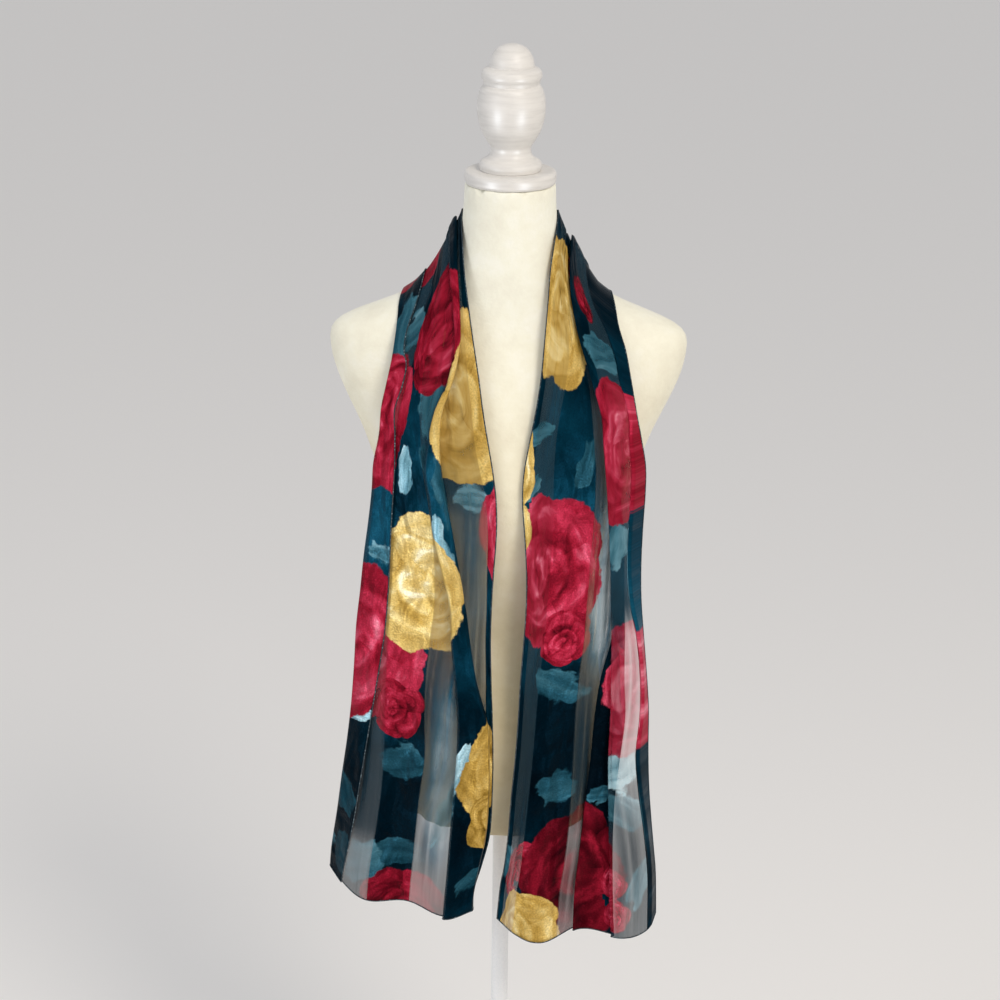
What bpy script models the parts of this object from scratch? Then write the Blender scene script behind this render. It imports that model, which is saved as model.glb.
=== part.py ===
"""Chiffon scarf worn round the neck of a limbless, cloth-covered dress form on a round pole.

The scarf is one long strip. It lies on the shoulders, passes behind the neck, and its two ends hang down the front,
pleated lengthwise. It is built as three walls of cloth: the left front, the stretch behind the neck and the right
front. Sizes are in millimetres and become metres when a mesh is made. +Z is up, the form faces -Y, and the origin is
the middle of the base's underside.
"""

import math
from collections import namedtuple

import bmesh
import bpy
from mathutils import Vector

MM = 0.001
GAP = 0.3
SEAM = 1.25

# The scarf's cloth
WALL = 1.0
CLEARANCE = 1.25
LAYER_ON_CHEST = 2.8
LAYER_HANGING = 4.6
CHEST_HEIGHT = 1110.0
BUST_HEIGHT = 1010.0
HEM_ZONE = 110.0
CURTAIN_HALF_WIDTH = 212.0
CURTAIN_DEPTH = 119.0
CHEST_EASE = 0.09

# The stand
NECK_TOP = 1307.0
TORSO_BOTTOM = 600.0
TORSO_SIDES = 48
POLE_RADIUS = 9.5
BASE_RADIUS = 190.0
BASE_TOP = 12.0

# The torso's sections: an ellipse with one half width, and its own depth in front and behind.
Section = namedtuple("Section", "height half_width front back")
TORSO = [
    Section(600, 104, 84, 84),
    Section(650, 106, 89, 89),
    Section(700, 107, 92, 90),
    Section(745, 106, 91, 87),
    Section(800, 102, 85, 80),
    Section(845, 100, 82, 74),
    Section(890, 104, 90, 74),
    Section(935, 116, 101, 78),
    Section(980, 131, 111, 84),
    Section(1015, 143, 113, 88),
    Section(1050, 156, 107, 91),
    Section(1085, 173, 95, 92),
    Section(1120, 186, 80, 88),
    Section(1143, 189, 69, 82),
    Section(1155, 185, 63, 76),
    Section(1165, 167, 59, 70),
    Section(1175, 141, 56, 65),
    Section(1186, 113, 53.5, 60),
    Section(1200, 90, 51.5, 56),
    Section(1213, 74, 50.5, 54),
    Section(1228, 60.5, 49.5, 52),
    Section(1245, 53, 48, 49),
    Section(1275, 48.5, 47, 47),
    Section(NECK_TOP, 47, 47, 47),
]

# Where each lengthwise crease of the left end lies, from its free edge in to the neck side: x at each height.
# edge: the outer satin's free edge, turned to the front; fold: the fold at the outline; tuck: the turn hidden under
# the pleat; pleat_left, pleat_right: the front pleat's two folds; behind: the turn at its back; inner: the neck side.
Left = namedtuple("Left", "height edge fold tuck pleat_left pleat_right behind inner")
LEFT_CREASES = [
    Left(520, -174, -188, -51, -56, -28, -54, -30),
    Left(560, -168, -185, -49, -54, -22, -50, -21),
    Left(600, -160, -180, -46, -51, -14, -43, -10),
    Left(650, -152, -173, -42, -48, -9, -38, -6),
    Left(700, -144, -166, -37, -44, -8, -36, -5),
    Left(750, -136, -160, -36, -42, -10, -36, -6),
    Left(800, -128, -156, -37, -45, -22, -42, -8),
    Left(850, -121, -153, -38, -50, -31, -47, -9),
    Left(900, -117, -147, -43, -53, -38, -50, -8),
    Left(950, -115, -142, -51, -68, -46, -54, -5),
    Left(985, -113, -136, -58, -71, -53, -60, -4),
    Left(1020, -111, -135, -64, -77, -59, -66, -7),
    Left(1050, -110, -130, -69, -79, -64, -72, -12),
    Left(1075, -111, -125, -66, -72, -61, -70, -17),
    Left(1100, -112, -120, -63, -69, -58, -70, -22),
    Left(1125, -109, -116, -55, -60, -50, -67, -26),
    Left(1150, -105, -113, -51, -56, -46, -66, -31),
    Left(1175, -97, -111, -50, -55, -45, -68, -35),
    Left(1200, -89, -109, -53, -58, -48, -70, -40),
    Left(1225, -87, -108, -55, -60, -50, -72, -44),
    Left(1250, -87, -108, -57, -61, -52, -75, -47),
    Left(1276, -87, -108, -57, -62, -53, -76, -50),
]

# The same for the right end. edge: the outer satin's free edge; stripe: where the satin starts to turn back; over,
# under: the folds of the outer pleat; satin: the left fold of the satin band; behind: the inner stretch's right fold.
Right = namedtuple("Right", "height edge stripe over under satin behind inner")
RIGHT_CREASES = [
    Right(480, 175, 170, 127, 133, 84, 99, 2),
    Right(525, 174, 168, 125, 131, 85, 100, 3),
    Right(560, 172, 167, 123, 129, 86, 102, 6),
    Right(600, 168, 163, 121, 129, 90, 106, 11),
    Right(650, 163, 156, 119, 130, 94, 109, 14),
    Right(700, 160, 149, 119, 132, 99, 113, 18),
    Right(750, 159, 152, 119, 134, 103, 115, 21),
    Right(800, 155, 151, 118, 132, 110, 120, 23),
    Right(850, 150, 145, 117, 131, 120, 128, 26),
    Right(900, 146, 135, 115, 129, 118, 129, 28),
    Right(950, 146, 133, 113, 127, 116, 127, 26),
    Right(985, 147, 134, 110, 124, 113, 124, 23),
    Right(1020, 148, 135, 107, 120, 109, 115, 22),
    Right(1050, 144, 133, 105, 117, 107, 102, 26),
    Right(1075, 138, 129, 100, 112, 102, 99, 30),
    Right(1087, 136, 127, 98, 110, 101, 98, 33),
    Right(1100, 133, 124, 95, 107, 98, 102, 35),
    Right(1125, 128, 117, 88, 99, 91, 95, 38),
    Right(1150, 122, 112, 81, 92, 84, 88, 40),
    Right(1175, 110, 101, 73, 84, 76, 80, 41),
    Right(1200, 105, 88, 66, 77, 69, 73, 43),
    Right(1225, 104, 80, 61, 71, 64, 68, 44),
    Right(1250, 104, 80, 61, 71, 64, 68, 47),
    Right(1277, 104, 82, 62, 72, 65, 69, 50),
]

# The stations down a front. Each runs across the strip from its neck side to its outer side. Over the shoulder the
# strip lies askew, so the two sides have their own heights, and their own depths (y) before the cloth is laid on the
# form. The sag takes the strip down between its sides, into the hollow beside the neck. Further down it hangs, a
# station is level, and the curtain's curve gives the depth.
Station = namedtuple("Station", "inner_height outer_height inner_y outer_y sag layer_gap")
LEFT_SHOULDER = [
    Station(1276, 1191, 2, 2, 15, 2.6),
    Station(1264, 1181, -14, -20, 14, 2.6),
    Station(1249, 1171, -30, -40, 11, 2.6),
    Station(1226, 1156, -46, -58, 8, 2.6),
    Station(1196, 1138, -60, -68, 4, 2.7),
    Station(1160, 1122, -76, -74, 0, 2.8),
    Station(1124, 1106, -89, -79, 0, 2.8),
    Station(1090, 1086, -102, -83, 0, 2.8),
]
RIGHT_SHOULDER = [
    Station(1277, 1190, 2, 2, 15, 2.6),
    Station(1264, 1180, -14, -20, 14, 2.6),
    Station(1249, 1166, -30, -40, 11, 2.6),
    Station(1226, 1149, -46, -56, 8, 2.6),
    Station(1196, 1131, -60, -66, 4, 2.7),
    Station(1160, 1114, -76, -73, 0, 2.8),
    Station(1124, 1100, -89, -78, 0, 2.8),
    Station(1090, 1082, -102, -82, 0, 2.8),
]
HANGING_HEIGHTS = [1060, 1030, 1000, 965, 925, 885, 845, 800, 755, 710, 665, 620, 580, 548]

# The hem: its height at each x, level but for the corners, which are drawn up.
Hem = namedtuple("Hem", "x height")
LEFT_HEM = [Hem(-190, 546), Hem(-172, 532), Hem(-146, 525), Hem(-97, 531), Hem(-56, 527), Hem(-26, 537)]
RIGHT_HEM = [Hem(0, 521), Hem(20, 503), Hem(50, 495), Hem(90, 505), Hem(140, 494), Hem(165, 493), Hem(177, 505)]

# Soft waves that the hanging cloth takes up towards its hem
WAVE_LENGTH = 92.0
WAVE_DEPTH = 12.0
LEFT_CREST = -53.0
RIGHT_CREST = 50.0

# Behind the neck: the strip's neck side and its outer side, as ellipses seen from above
NECK_SIDE = (50.0, 51.0)
OUTER_SIDE = (106.0, 77.0)
NAPE_HEIGHT = 1268.0
BACK_HEIGHT = 1166.0
NECK_STATIONS = 19
NECK_WAVES = 5
NECK_WAVE_DEPTH = 4.6
NECK_SOFTENING = 12

# Turned pieces: (radius, height) down the outer side
CAP_PROFILE = [(0, 1320.8), (43.5, 1320.8), (46.4, 1319.4), (47.2, 1317.0), (47.0, 1309.5), (45.8, 1307.3), (0, 1307.3)]
FINIAL_PROFILE = [
    (0, 1450), (8, 1448.6), (16, 1444), (21.5, 1436), (23.3, 1426.5), (29.4, 1423), (31.0, 1417.5), (29.2, 1412.5),
    (28.6, 1409), (32.2, 1403), (35.1, 1389), (34.4, 1376), (31.0, 1362.5), (25.4, 1352), (20.8, 1344), (21.4, 1337.5),
    (25.5, 1333), (31.0, 1329.5), (32.2, 1326), (31.4, 1321.1), (0, 1321.1),
]
BASE_PROFILE = [
    (0, BASE_TOP), (17, BASE_TOP), (21, 10.8), (26, 9.4), (40, 8.4), (BASE_RADIUS - 5, 7.0), (BASE_RADIUS - 1.4, 5.6),
    (BASE_RADIUS, 3.0), (BASE_RADIUS - 0.8, 0.8), (BASE_RADIUS - 3, 0), (0, 0),
]


def smoothstep(start, end, value):
    """0 at start, 1 at end, with a soft rise between."""
    t = min(max((value - start) / (end - start), 0.0), 1.0)
    return t * t * (3 - 2 * t)


def read_table(table, key):
    """The table's other columns at the key, on a smooth curve through its rows. The first column is the key's."""
    last = len(table) - 1
    key = min(max(key, table[0][0]), table[last][0])
    row = max(i for i in range(last) if table[i][0] <= key)

    def slope(i, column):
        before, after = max(i - 1, 0), min(i + 1, last)
        return (table[after][column] - table[before][column]) / (table[after][0] - table[before][0])

    step = table[row + 1][0] - table[row][0]
    t = (key - table[row][0]) / step
    values = []
    for column in range(1, len(table[0])):
        start, end = table[row][column], table[row + 1][column]
        values.append(
            (2 * t**3 - 3 * t**2 + 1) * start
            + (t**3 - 2 * t**2 + t) * step * slope(row, column)
            + (3 * t**2 - 2 * t**3) * end
            + (t**3 - t**2) * step * slope(row + 1, column)
        )
    return values


# ---------------------------------------------------------------- meshes and materials


def empty_scene():
    for old in list(bpy.data.objects):
        bpy.data.objects.remove(old, do_unlink=True)


def material(name, colour, roughness, metallic=0.0):
    made = bpy.data.materials.new(name)
    made.use_nodes = True
    shader = made.node_tree.nodes["Principled BSDF"]
    shader.inputs["Base Color"].default_value = (*colour, 1)
    shader.inputs["Roughness"].default_value = roughness
    shader.inputs["Metallic"].default_value = metallic
    return made


def new_object(name, shape, surface, home):
    """Writes a bmesh in millimetres to an object in metres."""
    bmesh.ops.scale(shape, vec=(MM, MM, MM), verts=shape.verts)
    mesh = bpy.data.meshes.new(name)
    shape.to_mesh(mesh)
    shape.free()
    mesh.materials.append(surface)
    mesh.shade_smooth()
    made = bpy.data.objects.new(name, mesh)
    home.objects.link(made)
    return made


def turned(name, profile, sides, surface, home):
    """A closed turned piece: the profile runs down its outer side, from axis to axis."""
    shape = bmesh.new()
    points = [shape.verts.new((radius, 0, height)) for radius, height in profile]
    for upper, lower in zip(points, points[1:]):
        shape.edges.new((upper, lower))
    made = new_object(name, shape, surface, home)
    screw = made.modifiers.new("Turn", "SCREW")
    screw.steps = screw.render_steps = sides
    screw.use_merge_vertices = True
    screw.merge_threshold = 0.00001
    made.data.set_sharp_from_angle(angle=math.radians(40))
    return made


def loft(name, rings, surface, home):
    """A closed solid through level rings of points, from the lowest to the highest."""
    shape = bmesh.new()
    rows = [[shape.verts.new(point) for point in ring] for ring in rings]
    count = len(rows[0])
    for lower, upper in zip(rows, rows[1:]):
        for i in range(count):
            following = (i + 1) % count
            shape.faces.new((lower[i], lower[following], upper[following], upper[i]))
    shape.faces.new(list(reversed(rows[0])))
    shape.faces.new(rows[-1])
    return new_object(name, shape, surface, home)


def cloth(name, rows, surface, home):
    """A wall of cloth over a grid of points, thickened to both sides."""
    shape = bmesh.new()
    grid = [[shape.verts.new(point) for point in row] for row in rows]
    for row, below in zip(grid, grid[1:]):
        for i in range(len(row) - 1):
            shape.faces.new((row[i], row[i + 1], below[i + 1], below[i]))
    made = new_object(name, shape, surface, home)
    wall = made.modifiers.new("Wall", "SOLIDIFY")
    wall.thickness = WALL * MM
    wall.offset = 0.0
    wall.use_even_offset = True
    wall.use_quality_normals = True
    return made


# ---------------------------------------------------------------- the dress form


def form_level(point):
    """1 on the torso's surface, less inside it and more outside."""
    half_width, front, back = read_table(TORSO, point[2])
    return math.hypot(point[0] / half_width, point[1] / (front if point[1] < 0 else back))


def form_normal(point):
    """The direction away from the torso, and how fast the level rises that way."""
    step = 0.5
    rise = Vector()
    for axis in range(3):
        ahead, behind = point.copy(), point.copy()
        ahead[axis] += step
        behind[axis] -= step
        rise[axis] = (form_level(ahead) - form_level(behind)) / (2 * step)
    return rise.normalized(), rise.length


def laid_on_form(point, clearance):
    """The point itself if it is clear of the torso, or else the point moved out to the clearance."""
    point = Vector(point)
    for _ in range(12):
        normal, rate = form_normal(point)
        distance = (form_level(point) - 1) / rate
        if distance >= clearance:
            break
        point += normal * (clearance - distance)
    return point


def torso_rings():
    heights = []
    for lower, upper in zip(TORSO, TORSO[1:]):
        heights.append(lower.height)
        if upper.height - lower.height > 24:
            heights.append((lower.height + upper.height) / 2)
    for height in heights + [NECK_TOP]:
        half_width, front, back = read_table(TORSO, height)
        ring = []
        for i in range(TORSO_SIDES):
            angle = 2 * math.pi * i / TORSO_SIDES
            depth = back if math.sin(angle) > 0 else front
            ring.append((half_width * math.cos(angle), depth * math.sin(angle), height))
        yield ring


# ---------------------------------------------------------------- the scarf's cross-sections

# A turn of the folded strip: its x, the layers that it joins, and the columns of points in the run after it.
Turn = namedtuple("Turn", "x layer next_layer columns")
TURN_REACH = 2.4
TURN_SOFTENING = 1


def left_turns(creases):
    """The left end from its free edge inwards: the turned-back satin, the broad run, the pleat and what lies behind."""
    on_shoulder = smoothstep(1100, 1200, creases.height)
    return [
        Turn(creases.edge, 3 - on_shoulder, 3 - on_shoulder, 1),
        Turn(creases.fold, 3 - 1.8 * on_shoulder, 2 - 1.8 * on_shoulder, 7),
        Turn(creases.tuck, 2, 3, 1),
        Turn(creases.pleat_left, 3, 4, 3),
        Turn(creases.pleat_right, 4, 1, 1),
        Turn(creases.behind, 1, 0, 3),
        Turn(creases.inner, 0, 0, 0),
    ]


def right_turns(creases):
    """The right end from its free edge inwards: the satin that turns back, two pleats and the broad inner run."""
    stripe_layer = 4 - 1.6 * smoothstep(1000, 1120, creases.height)
    return [
        Turn(creases.edge, 0.8, 0.8, 2),
        Turn(creases.stripe, stripe_layer, stripe_layer, 2),
        Turn(creases.over, 4, 3, 1),
        Turn(creases.under, 3, 2, 2),
        Turn(creases.satin, 2, 1, 1),
        Turn(creases.behind, 1, 0, 8),
        Turn(creases.inner, 0, 0, 0),
    ]


def rounded_turn(before, turn, after):
    """Five points (x, layer) round a turn, drawn in where the runs beside it are short."""
    reach_in = min(TURN_REACH, 0.45 * abs(turn.x - before.x))
    reach_out = min(TURN_REACH, 0.45 * abs(after.x - turn.x))
    start = turn.x - math.copysign(reach_in, turn.x - before.x)
    end = turn.x + math.copysign(reach_out, after.x - turn.x)
    rise = turn.next_layer - turn.layer
    return [
        (start, turn.layer),
        (turn.x + 0.25 * (start - turn.x), turn.layer + 0.16 * rise),
        (turn.x, turn.layer + 0.5 * rise),
        (turn.x + 0.25 * (end - turn.x), turn.layer + 0.84 * rise),
        (end, turn.next_layer),
    ]


def softened(section, passes):
    """Evens out a section's points, so that a fold which is almost open leaves no kink. The two ends stay."""
    for _ in range(passes):
        inside = [
            tuple(0.25 * a + 0.5 * b + 0.25 * c for a, b, c in zip(*near))
            for near in zip(section, section[1:], section[2:])
        ]
        section = [section[0], *inside, section[-1]]
    return section


def cross_section(turns):
    """The folded strip's points (x, layer), from its free edge to its neck side."""
    corners = [[(turns[0].x, turns[0].layer)]]
    for before, turn, after in zip(turns, turns[1:], turns[2:]):
        corners.append(rounded_turn(before, turn, after))
    corners.append([(turns[-1].x, turns[-1].layer)])
    points = list(corners[0])
    for turn, corner in zip(turns, corners[1:]):
        start, end = points[-1], corner[0]
        for i in range(1, turn.columns + 1):
            t = i / (turn.columns + 1)
            points.append((start[0] + t * (end[0] - start[0]), start[1] + t * (end[1] - start[1])))
        points += corner
    return softened(points, TURN_SOFTENING)


# ---------------------------------------------------------------- the scarf's stations


def creases_on(table, station):
    """Each crease's x where it crosses the station, which may lie askew, and the height there."""
    kind = type(table[0])
    names = kind._fields[1:]
    inner = getattr(kind(0, *read_table(table, station.inner_height)), names[-1])
    outer_names = {"Left": "fold", "Right": "edge"}
    outer = getattr(kind(0, *read_table(table, station.outer_height)), outer_names[kind.__name__])
    crossings = []
    for column in range(len(names)):
        share = 0.5
        for _ in range(30):
            height = station.inner_height + share * (station.outer_height - station.inner_height)
            x = read_table(table, height)[column]
            share = min(max((x - inner) / (outer - inner), 0.0), 1.0)
        crossings.append(inner + share * (outer - inner))
    height = (station.inner_height + station.outer_height) / 2
    return kind(height, *crossings), inner, outer


def curtain_depth(x):
    """How far forward the hanging cloth lies, as seen from above."""
    share = min(abs(x) / CURTAIN_HALF_WIDTH, 0.995)
    return -CURTAIN_DEPTH * (1 - share**1.7) ** (1 / 1.7)


def stacked(inner, outer, section, sag, layer_gap):
    """A station laid on the form between two points: (share, layer) pairs become points, stacked away from the form."""
    inner_normal, _ = form_normal(laid_on_form(inner, CLEARANCE))
    outer_normal, _ = form_normal(laid_on_form(outer, CLEARANCE))
    row = []
    for share, layer in section:
        foot = Vector(inner).lerp(Vector(outer), share)
        foot.z -= sag * 4 * share * (1 - share)
        away = inner_normal.lerp(outer_normal, share).normalized()
        row.append(laid_on_form(foot, CLEARANCE) + away * layer * layer_gap)
    return row


def shoulder_station(table, turns_of, station):
    """A station over the shoulder, between the strip's neck side and its outer side."""
    creases, inner, outer = creases_on(table, station)
    section = [((x - inner) / (outer - inner), layer) for x, layer in cross_section(turns_of(creases))]
    neck_side = (inner, station.inner_y, station.inner_height)
    outer_side = (outer, station.outer_y, station.outer_height)
    return stacked(neck_side, outer_side, section, station.sag, station.layer_gap)


def hanging_station(table, turns_of, height, hem, crest):
    """A level station of the hanging cloth, down to the hem."""
    creases = type(table[0])(height, *read_table(table, height))
    on_chest = smoothstep(BUST_HEIGHT, CHEST_HEIGHT, height)
    layer_gap = LAYER_HANGING + on_chest * (LAYER_ON_CHEST - LAYER_HANGING)
    lowest = min(point.height for point in hem)
    near_hem = 1 - smoothstep(lowest, lowest + HEM_ZONE, height)
    wave = WAVE_DEPTH * (1 - smoothstep(lowest, BUST_HEIGHT, height))
    row = []
    for x, layer in cross_section(turns_of(creases)):
        drawn_up = near_hem * (read_table(hem, x)[0] - lowest)
        depth = curtain_depth(x) * (1 - CHEST_EASE * on_chest)
        foot = laid_on_form((x, depth, height + drawn_up), CLEARANCE)
        lift = layer * layer_gap + wave * (1 + math.cos(2 * math.pi * (x - crest) / WAVE_LENGTH)) / 2
        row.append(foot + Vector((0, -lift, 0)))
    return row


def front(table, turns_of, shoulder, hem, crest):
    """All stations of one end, from the shoulder's ridge to the hem."""
    rows = [shoulder_station(table, turns_of, station) for station in shoulder]
    heights = HANGING_HEIGHTS + [min(point.height for point in hem)]
    rows += [hanging_station(table, turns_of, height, hem, crest) for height in heights]
    return rows


def ridge_section(table, turns_of, station):
    """The folded strip on the shoulder's ridge, as (share from neck side to outer side, layer)."""
    creases, inner, outer = creases_on(table, station)
    return [((x - inner) / (outer - inner), layer) for x, layer in cross_section(turns_of(creases))]


def behind_neck():
    """The stations from the left shoulder's ridge round the nape to the right shoulder's.

    Away from each ridge the folds first open out, still on their own layers, and then settle into even waves.
    """
    left = ridge_section(LEFT_CREASES, left_turns, LEFT_SHOULDER[0])
    right = ridge_section(RIGHT_CREASES, right_turns, RIGHT_SHOULDER[0])
    rows = []
    for i in range(NECK_STATIONS):
        turn = i / (NECK_STATIONS - 1)
        sideways = -math.cos(math.pi * turn)
        backwards = math.sin(math.pi * turn)
        ridge, folded = (LEFT_SHOULDER[0], left) if turn < 0.5 else (RIGHT_SHOULDER[0], right)
        at_nape = smoothstep(0, 1, backwards)
        inner_height = ridge.inner_height + at_nape * (NAPE_HEIGHT - ridge.inner_height)
        outer_height = ridge.outer_height + at_nape * (BACK_HEIGHT - ridge.outer_height)
        inner = (NECK_SIDE[0] * sideways, 2 + NECK_SIDE[1] * backwards, inner_height)
        outer = (OUTER_SIDE[0] * sideways, 2 + OUTER_SIDE[1] * backwards, outer_height)
        from_ridge = min(turn, 1 - turn)
        opened = smoothstep(0, 0.24, from_ridge)
        flattened = smoothstep(0.18, 0.45, from_ridge)
        layer_gap = ridge.layer_gap + opened * (LAYER_ON_CHEST - ridge.layer_gap)
        section = []
        for column, (share, layer) in enumerate(folded):
            even = 1 - column / (len(folded) - 1)
            wave = 2 + NECK_WAVE_DEPTH / LAYER_ON_CHEST * math.cos(2 * math.pi * NECK_WAVES * even)
            section.append((share + opened * (even - share), layer + flattened * (wave - layer)))
        section = softened(section, math.ceil(NECK_SOFTENING * opened))
        rows.append(stacked(inner, outer, section, ridge.sag * (1 - at_nape), layer_gap))
    return rows


def parted(rows, first, last):
    """Draws the first or last station in by the seam's gap, so that neighbouring walls don't touch."""
    rows = [list(row) for row in rows]
    for wanted, end, next_in in ((first, 0, 1), (last, -1, -2)):
        if wanted:
            rows[end] = [a + (b - a).normalized() * SEAM for a, b in zip(rows[end], rows[next_in])]
    return rows


# ---------------------------------------------------------------- the pieces


def build_scarf(home):
    satin = material("Printed chiffon", (0.035, 0.10, 0.14), 0.55)
    left = front(LEFT_CREASES, left_turns, LEFT_SHOULDER, LEFT_HEM, LEFT_CREST)
    right = front(RIGHT_CREASES, right_turns, RIGHT_SHOULDER, RIGHT_HEM, RIGHT_CREST)
    cloth("scarf_left_front", left, satin, home)
    cloth("scarf_neck_back", parted(behind_neck(), True, True), satin, home)
    cloth("scarf_right_front", right, satin, home)


def build_stand(home):
    cover = material("Cream jersey cover", (0.84, 0.82, 0.71), 0.9)
    paint = material("White painted wood", (0.88, 0.87, 0.84), 0.45)
    enamel = material("White enamelled steel", (0.86, 0.87, 0.87), 0.35)
    loft("form_torso", list(torso_rings()), cover, home)
    turned("neck_cap", CAP_PROFILE, 48, paint, home)
    turned("finial", FINIAL_PROFILE, 28, paint, home)
    pole = [(0, TORSO_BOTTOM - GAP), (POLE_RADIUS, TORSO_BOTTOM - GAP), (POLE_RADIUS, BASE_TOP + GAP), (0, BASE_TOP + GAP)]
    turned("pole", pole, 24, enamel, home)
    turned("base_plate", BASE_PROFILE, 48, enamel, home)


def main():
    empty_scene()
    home = bpy.data.collections.new("Scarf on a dress form")
    bpy.context.scene.collection.children.link(home)
    build_scarf(home)
    build_stand(home)


main()
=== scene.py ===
# %% [markdown]
# # A chiffon scarf on a dress form
#
# The scarf is one long strip, woven with sheer chiffon stripes and glossy satin stripes, and printed
# with roses and leaves over both. It goes round the neck of a small dress form. The solid model gives
# every size and place. This script dresses it: it cuts the strip flat, drapes it row by row, and gives
# each surface its material.

# %% Load the solid model
import math
from collections import namedtuple
from functools import partialmethod

import bmesh
import bpy
import numpy as np
from mathutils import Matrix, Vector


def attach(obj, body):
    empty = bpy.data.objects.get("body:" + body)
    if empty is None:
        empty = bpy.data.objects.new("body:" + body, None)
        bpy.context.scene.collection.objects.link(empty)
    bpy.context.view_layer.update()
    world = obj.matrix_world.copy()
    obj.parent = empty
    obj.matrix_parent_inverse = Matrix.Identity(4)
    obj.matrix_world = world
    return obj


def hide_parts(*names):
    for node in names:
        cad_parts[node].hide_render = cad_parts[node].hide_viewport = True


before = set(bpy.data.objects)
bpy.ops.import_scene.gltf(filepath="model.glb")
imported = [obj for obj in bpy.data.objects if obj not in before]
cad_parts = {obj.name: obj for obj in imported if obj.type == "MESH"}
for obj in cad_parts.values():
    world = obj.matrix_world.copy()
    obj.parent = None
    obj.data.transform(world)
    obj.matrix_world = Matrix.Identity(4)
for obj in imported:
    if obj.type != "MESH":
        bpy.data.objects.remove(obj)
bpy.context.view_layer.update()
MM = 0.001
print("nodes:", ", ".join(sorted(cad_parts)))

# %% [markdown]
# ## Helpers for materials
#
# Colours are written as sRGB hex values, as a paint chart gives them. Shaders work in linear light, so
# one function turns them. Another adds a node with its settings and links. Arithmetic reads better as a
# formula, so what it gives is a Wire: one output of the node, on which each operator adds a Math node.


# %% Colours and nodes
def linear(colour):
    """An sRGB hex colour as linear red, green, blue and alpha."""
    channels = [int(colour[i:i + 2], 16) / 255 for i in (1, 3, 5)]
    return (*((c / 12.92 if c <= 0.04045 else ((c + 0.055) / 1.055) ** 2.4) for c in channels), 1.0)


def connect(node, links):
    """Feeds a node's sockets, by name or number, with wires, hex colours or plain values."""
    for name, value in links.items():
        if isinstance(value, Wire):
            node.id_data.links.new(value.node.outputs[value.output], node.inputs[name])
        else:
            node.inputs[name].default_value = linear(value) if isinstance(value, str) else value


def add(tree, kind, links=None, stops=(), output=0, **settings):
    """Adds a shader node with its settings, links and ramp stops, and gives a wire from one output."""
    node = tree.nodes.new("ShaderNode" + kind)
    for name, value in settings.items():
        setattr(node, name, value)
    connect(node, links or {})
    for number, (position, colour) in enumerate(stops):
        elements = node.color_ramp.elements
        element = elements[number] if number < 2 else elements.new(position)
        element.position = position
        element.color = linear(colour) if isinstance(colour, str) else (colour, colour, colour, 1)
    return Wire(node, output)


# %% Wires and materials
class Wire:
    """One output of a node, to link and to calculate with."""

    def __init__(self, node, output):
        self.node = node
        self.output = output

    def parts(self):
        """A wire from each output of the node."""
        return [Wire(self.node, number) for number in range(len(self.node.outputs))]

    def math(self, operation, *others, clamp=False):
        links = dict(enumerate((self, *others)))
        return add(self.node.id_data, "Math", links, operation=operation, use_clamp=clamp)

    def clamped(self):
        """The value, held between 0 and 1."""
        return self.math("ADD", 0.0, clamp=True)

    __add__ = partialmethod(math, "ADD")
    __sub__ = partialmethod(math, "SUBTRACT")
    __mul__ = partialmethod(math, "MULTIPLY")
    __truediv__ = partialmethod(math, "DIVIDE")
    __pow__ = partialmethod(math, "POWER")


def new_material(name):
    """An empty material, its node tree, and its Principled shader, linked to the output."""
    made = bpy.data.materials.new(name)
    made.use_nodes = True
    tree = made.node_tree
    tree.nodes.clear()
    surface = add(tree, "BsdfPrincipled")
    add(tree, "OutputMaterial", {"Surface": surface})
    return made, tree, surface.node


# %% [markdown]
# ## Camera, floor and light
#
# A long lens stands 2.6 m off and a little above the form's head, and looks slightly down. Two large
# soft lamps and a pale sky light the room with no hard shadow. Two low lamps are seen in reflections
# alone: seen from above, upright satin mirrors what lies low before it, so they are what makes its
# folds gleam.


# %% Camera
LENS_PIXELS, PICTURE, SIDE_SHIFT = 2600, 1000, -0.006
PITCH, YAW, ROLL = (math.radians(angle) for angle in (19.8, 2.5, 0.78))
DISTANCE, EYE_HEIGHT = 2.624, 1.905

eye = Vector((DISTANCE * math.sin(YAW), -DISTANCE * math.cos(YAW), EYE_HEIGHT))
camera = bpy.data.objects.new("Camera", bpy.data.cameras.new("Camera"))
camera.data.sensor_width = 36
camera.data.lens = LENS_PIXELS / PICTURE * camera.data.sensor_width
camera.data.shift_x = SIDE_SHIFT
turn = Matrix.Rotation(YAW, 4, "Z") @ Matrix.Rotation(math.radians(90) - PITCH, 4, "X")
turn = turn @ Matrix.Rotation(ROLL, 4, "Z")
camera.matrix_world = Matrix.Translation(eye) @ turn
bpy.context.collection.objects.link(camera)
bpy.context.scene.camera = camera
print("lens:", round(camera.data.lens, 1), "mm")


# %% Floor and light
def softbox(name, place, aim, size, watts, colour):
    """A round soft lamp, turned to its aim."""
    lamp = bpy.data.objects.new(name, bpy.data.lights.new(name, "AREA"))
    lamp.data.shape = "DISK"
    lamp.data.size = size
    lamp.data.energy = watts
    lamp.data.color = linear(colour)[:3]
    lamp.location = place
    lamp.rotation_euler = (Vector(aim) - Vector(place)).to_track_quat("-Z", "Y").to_euler()
    bpy.context.collection.objects.link(lamp)
    return lamp


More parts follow.
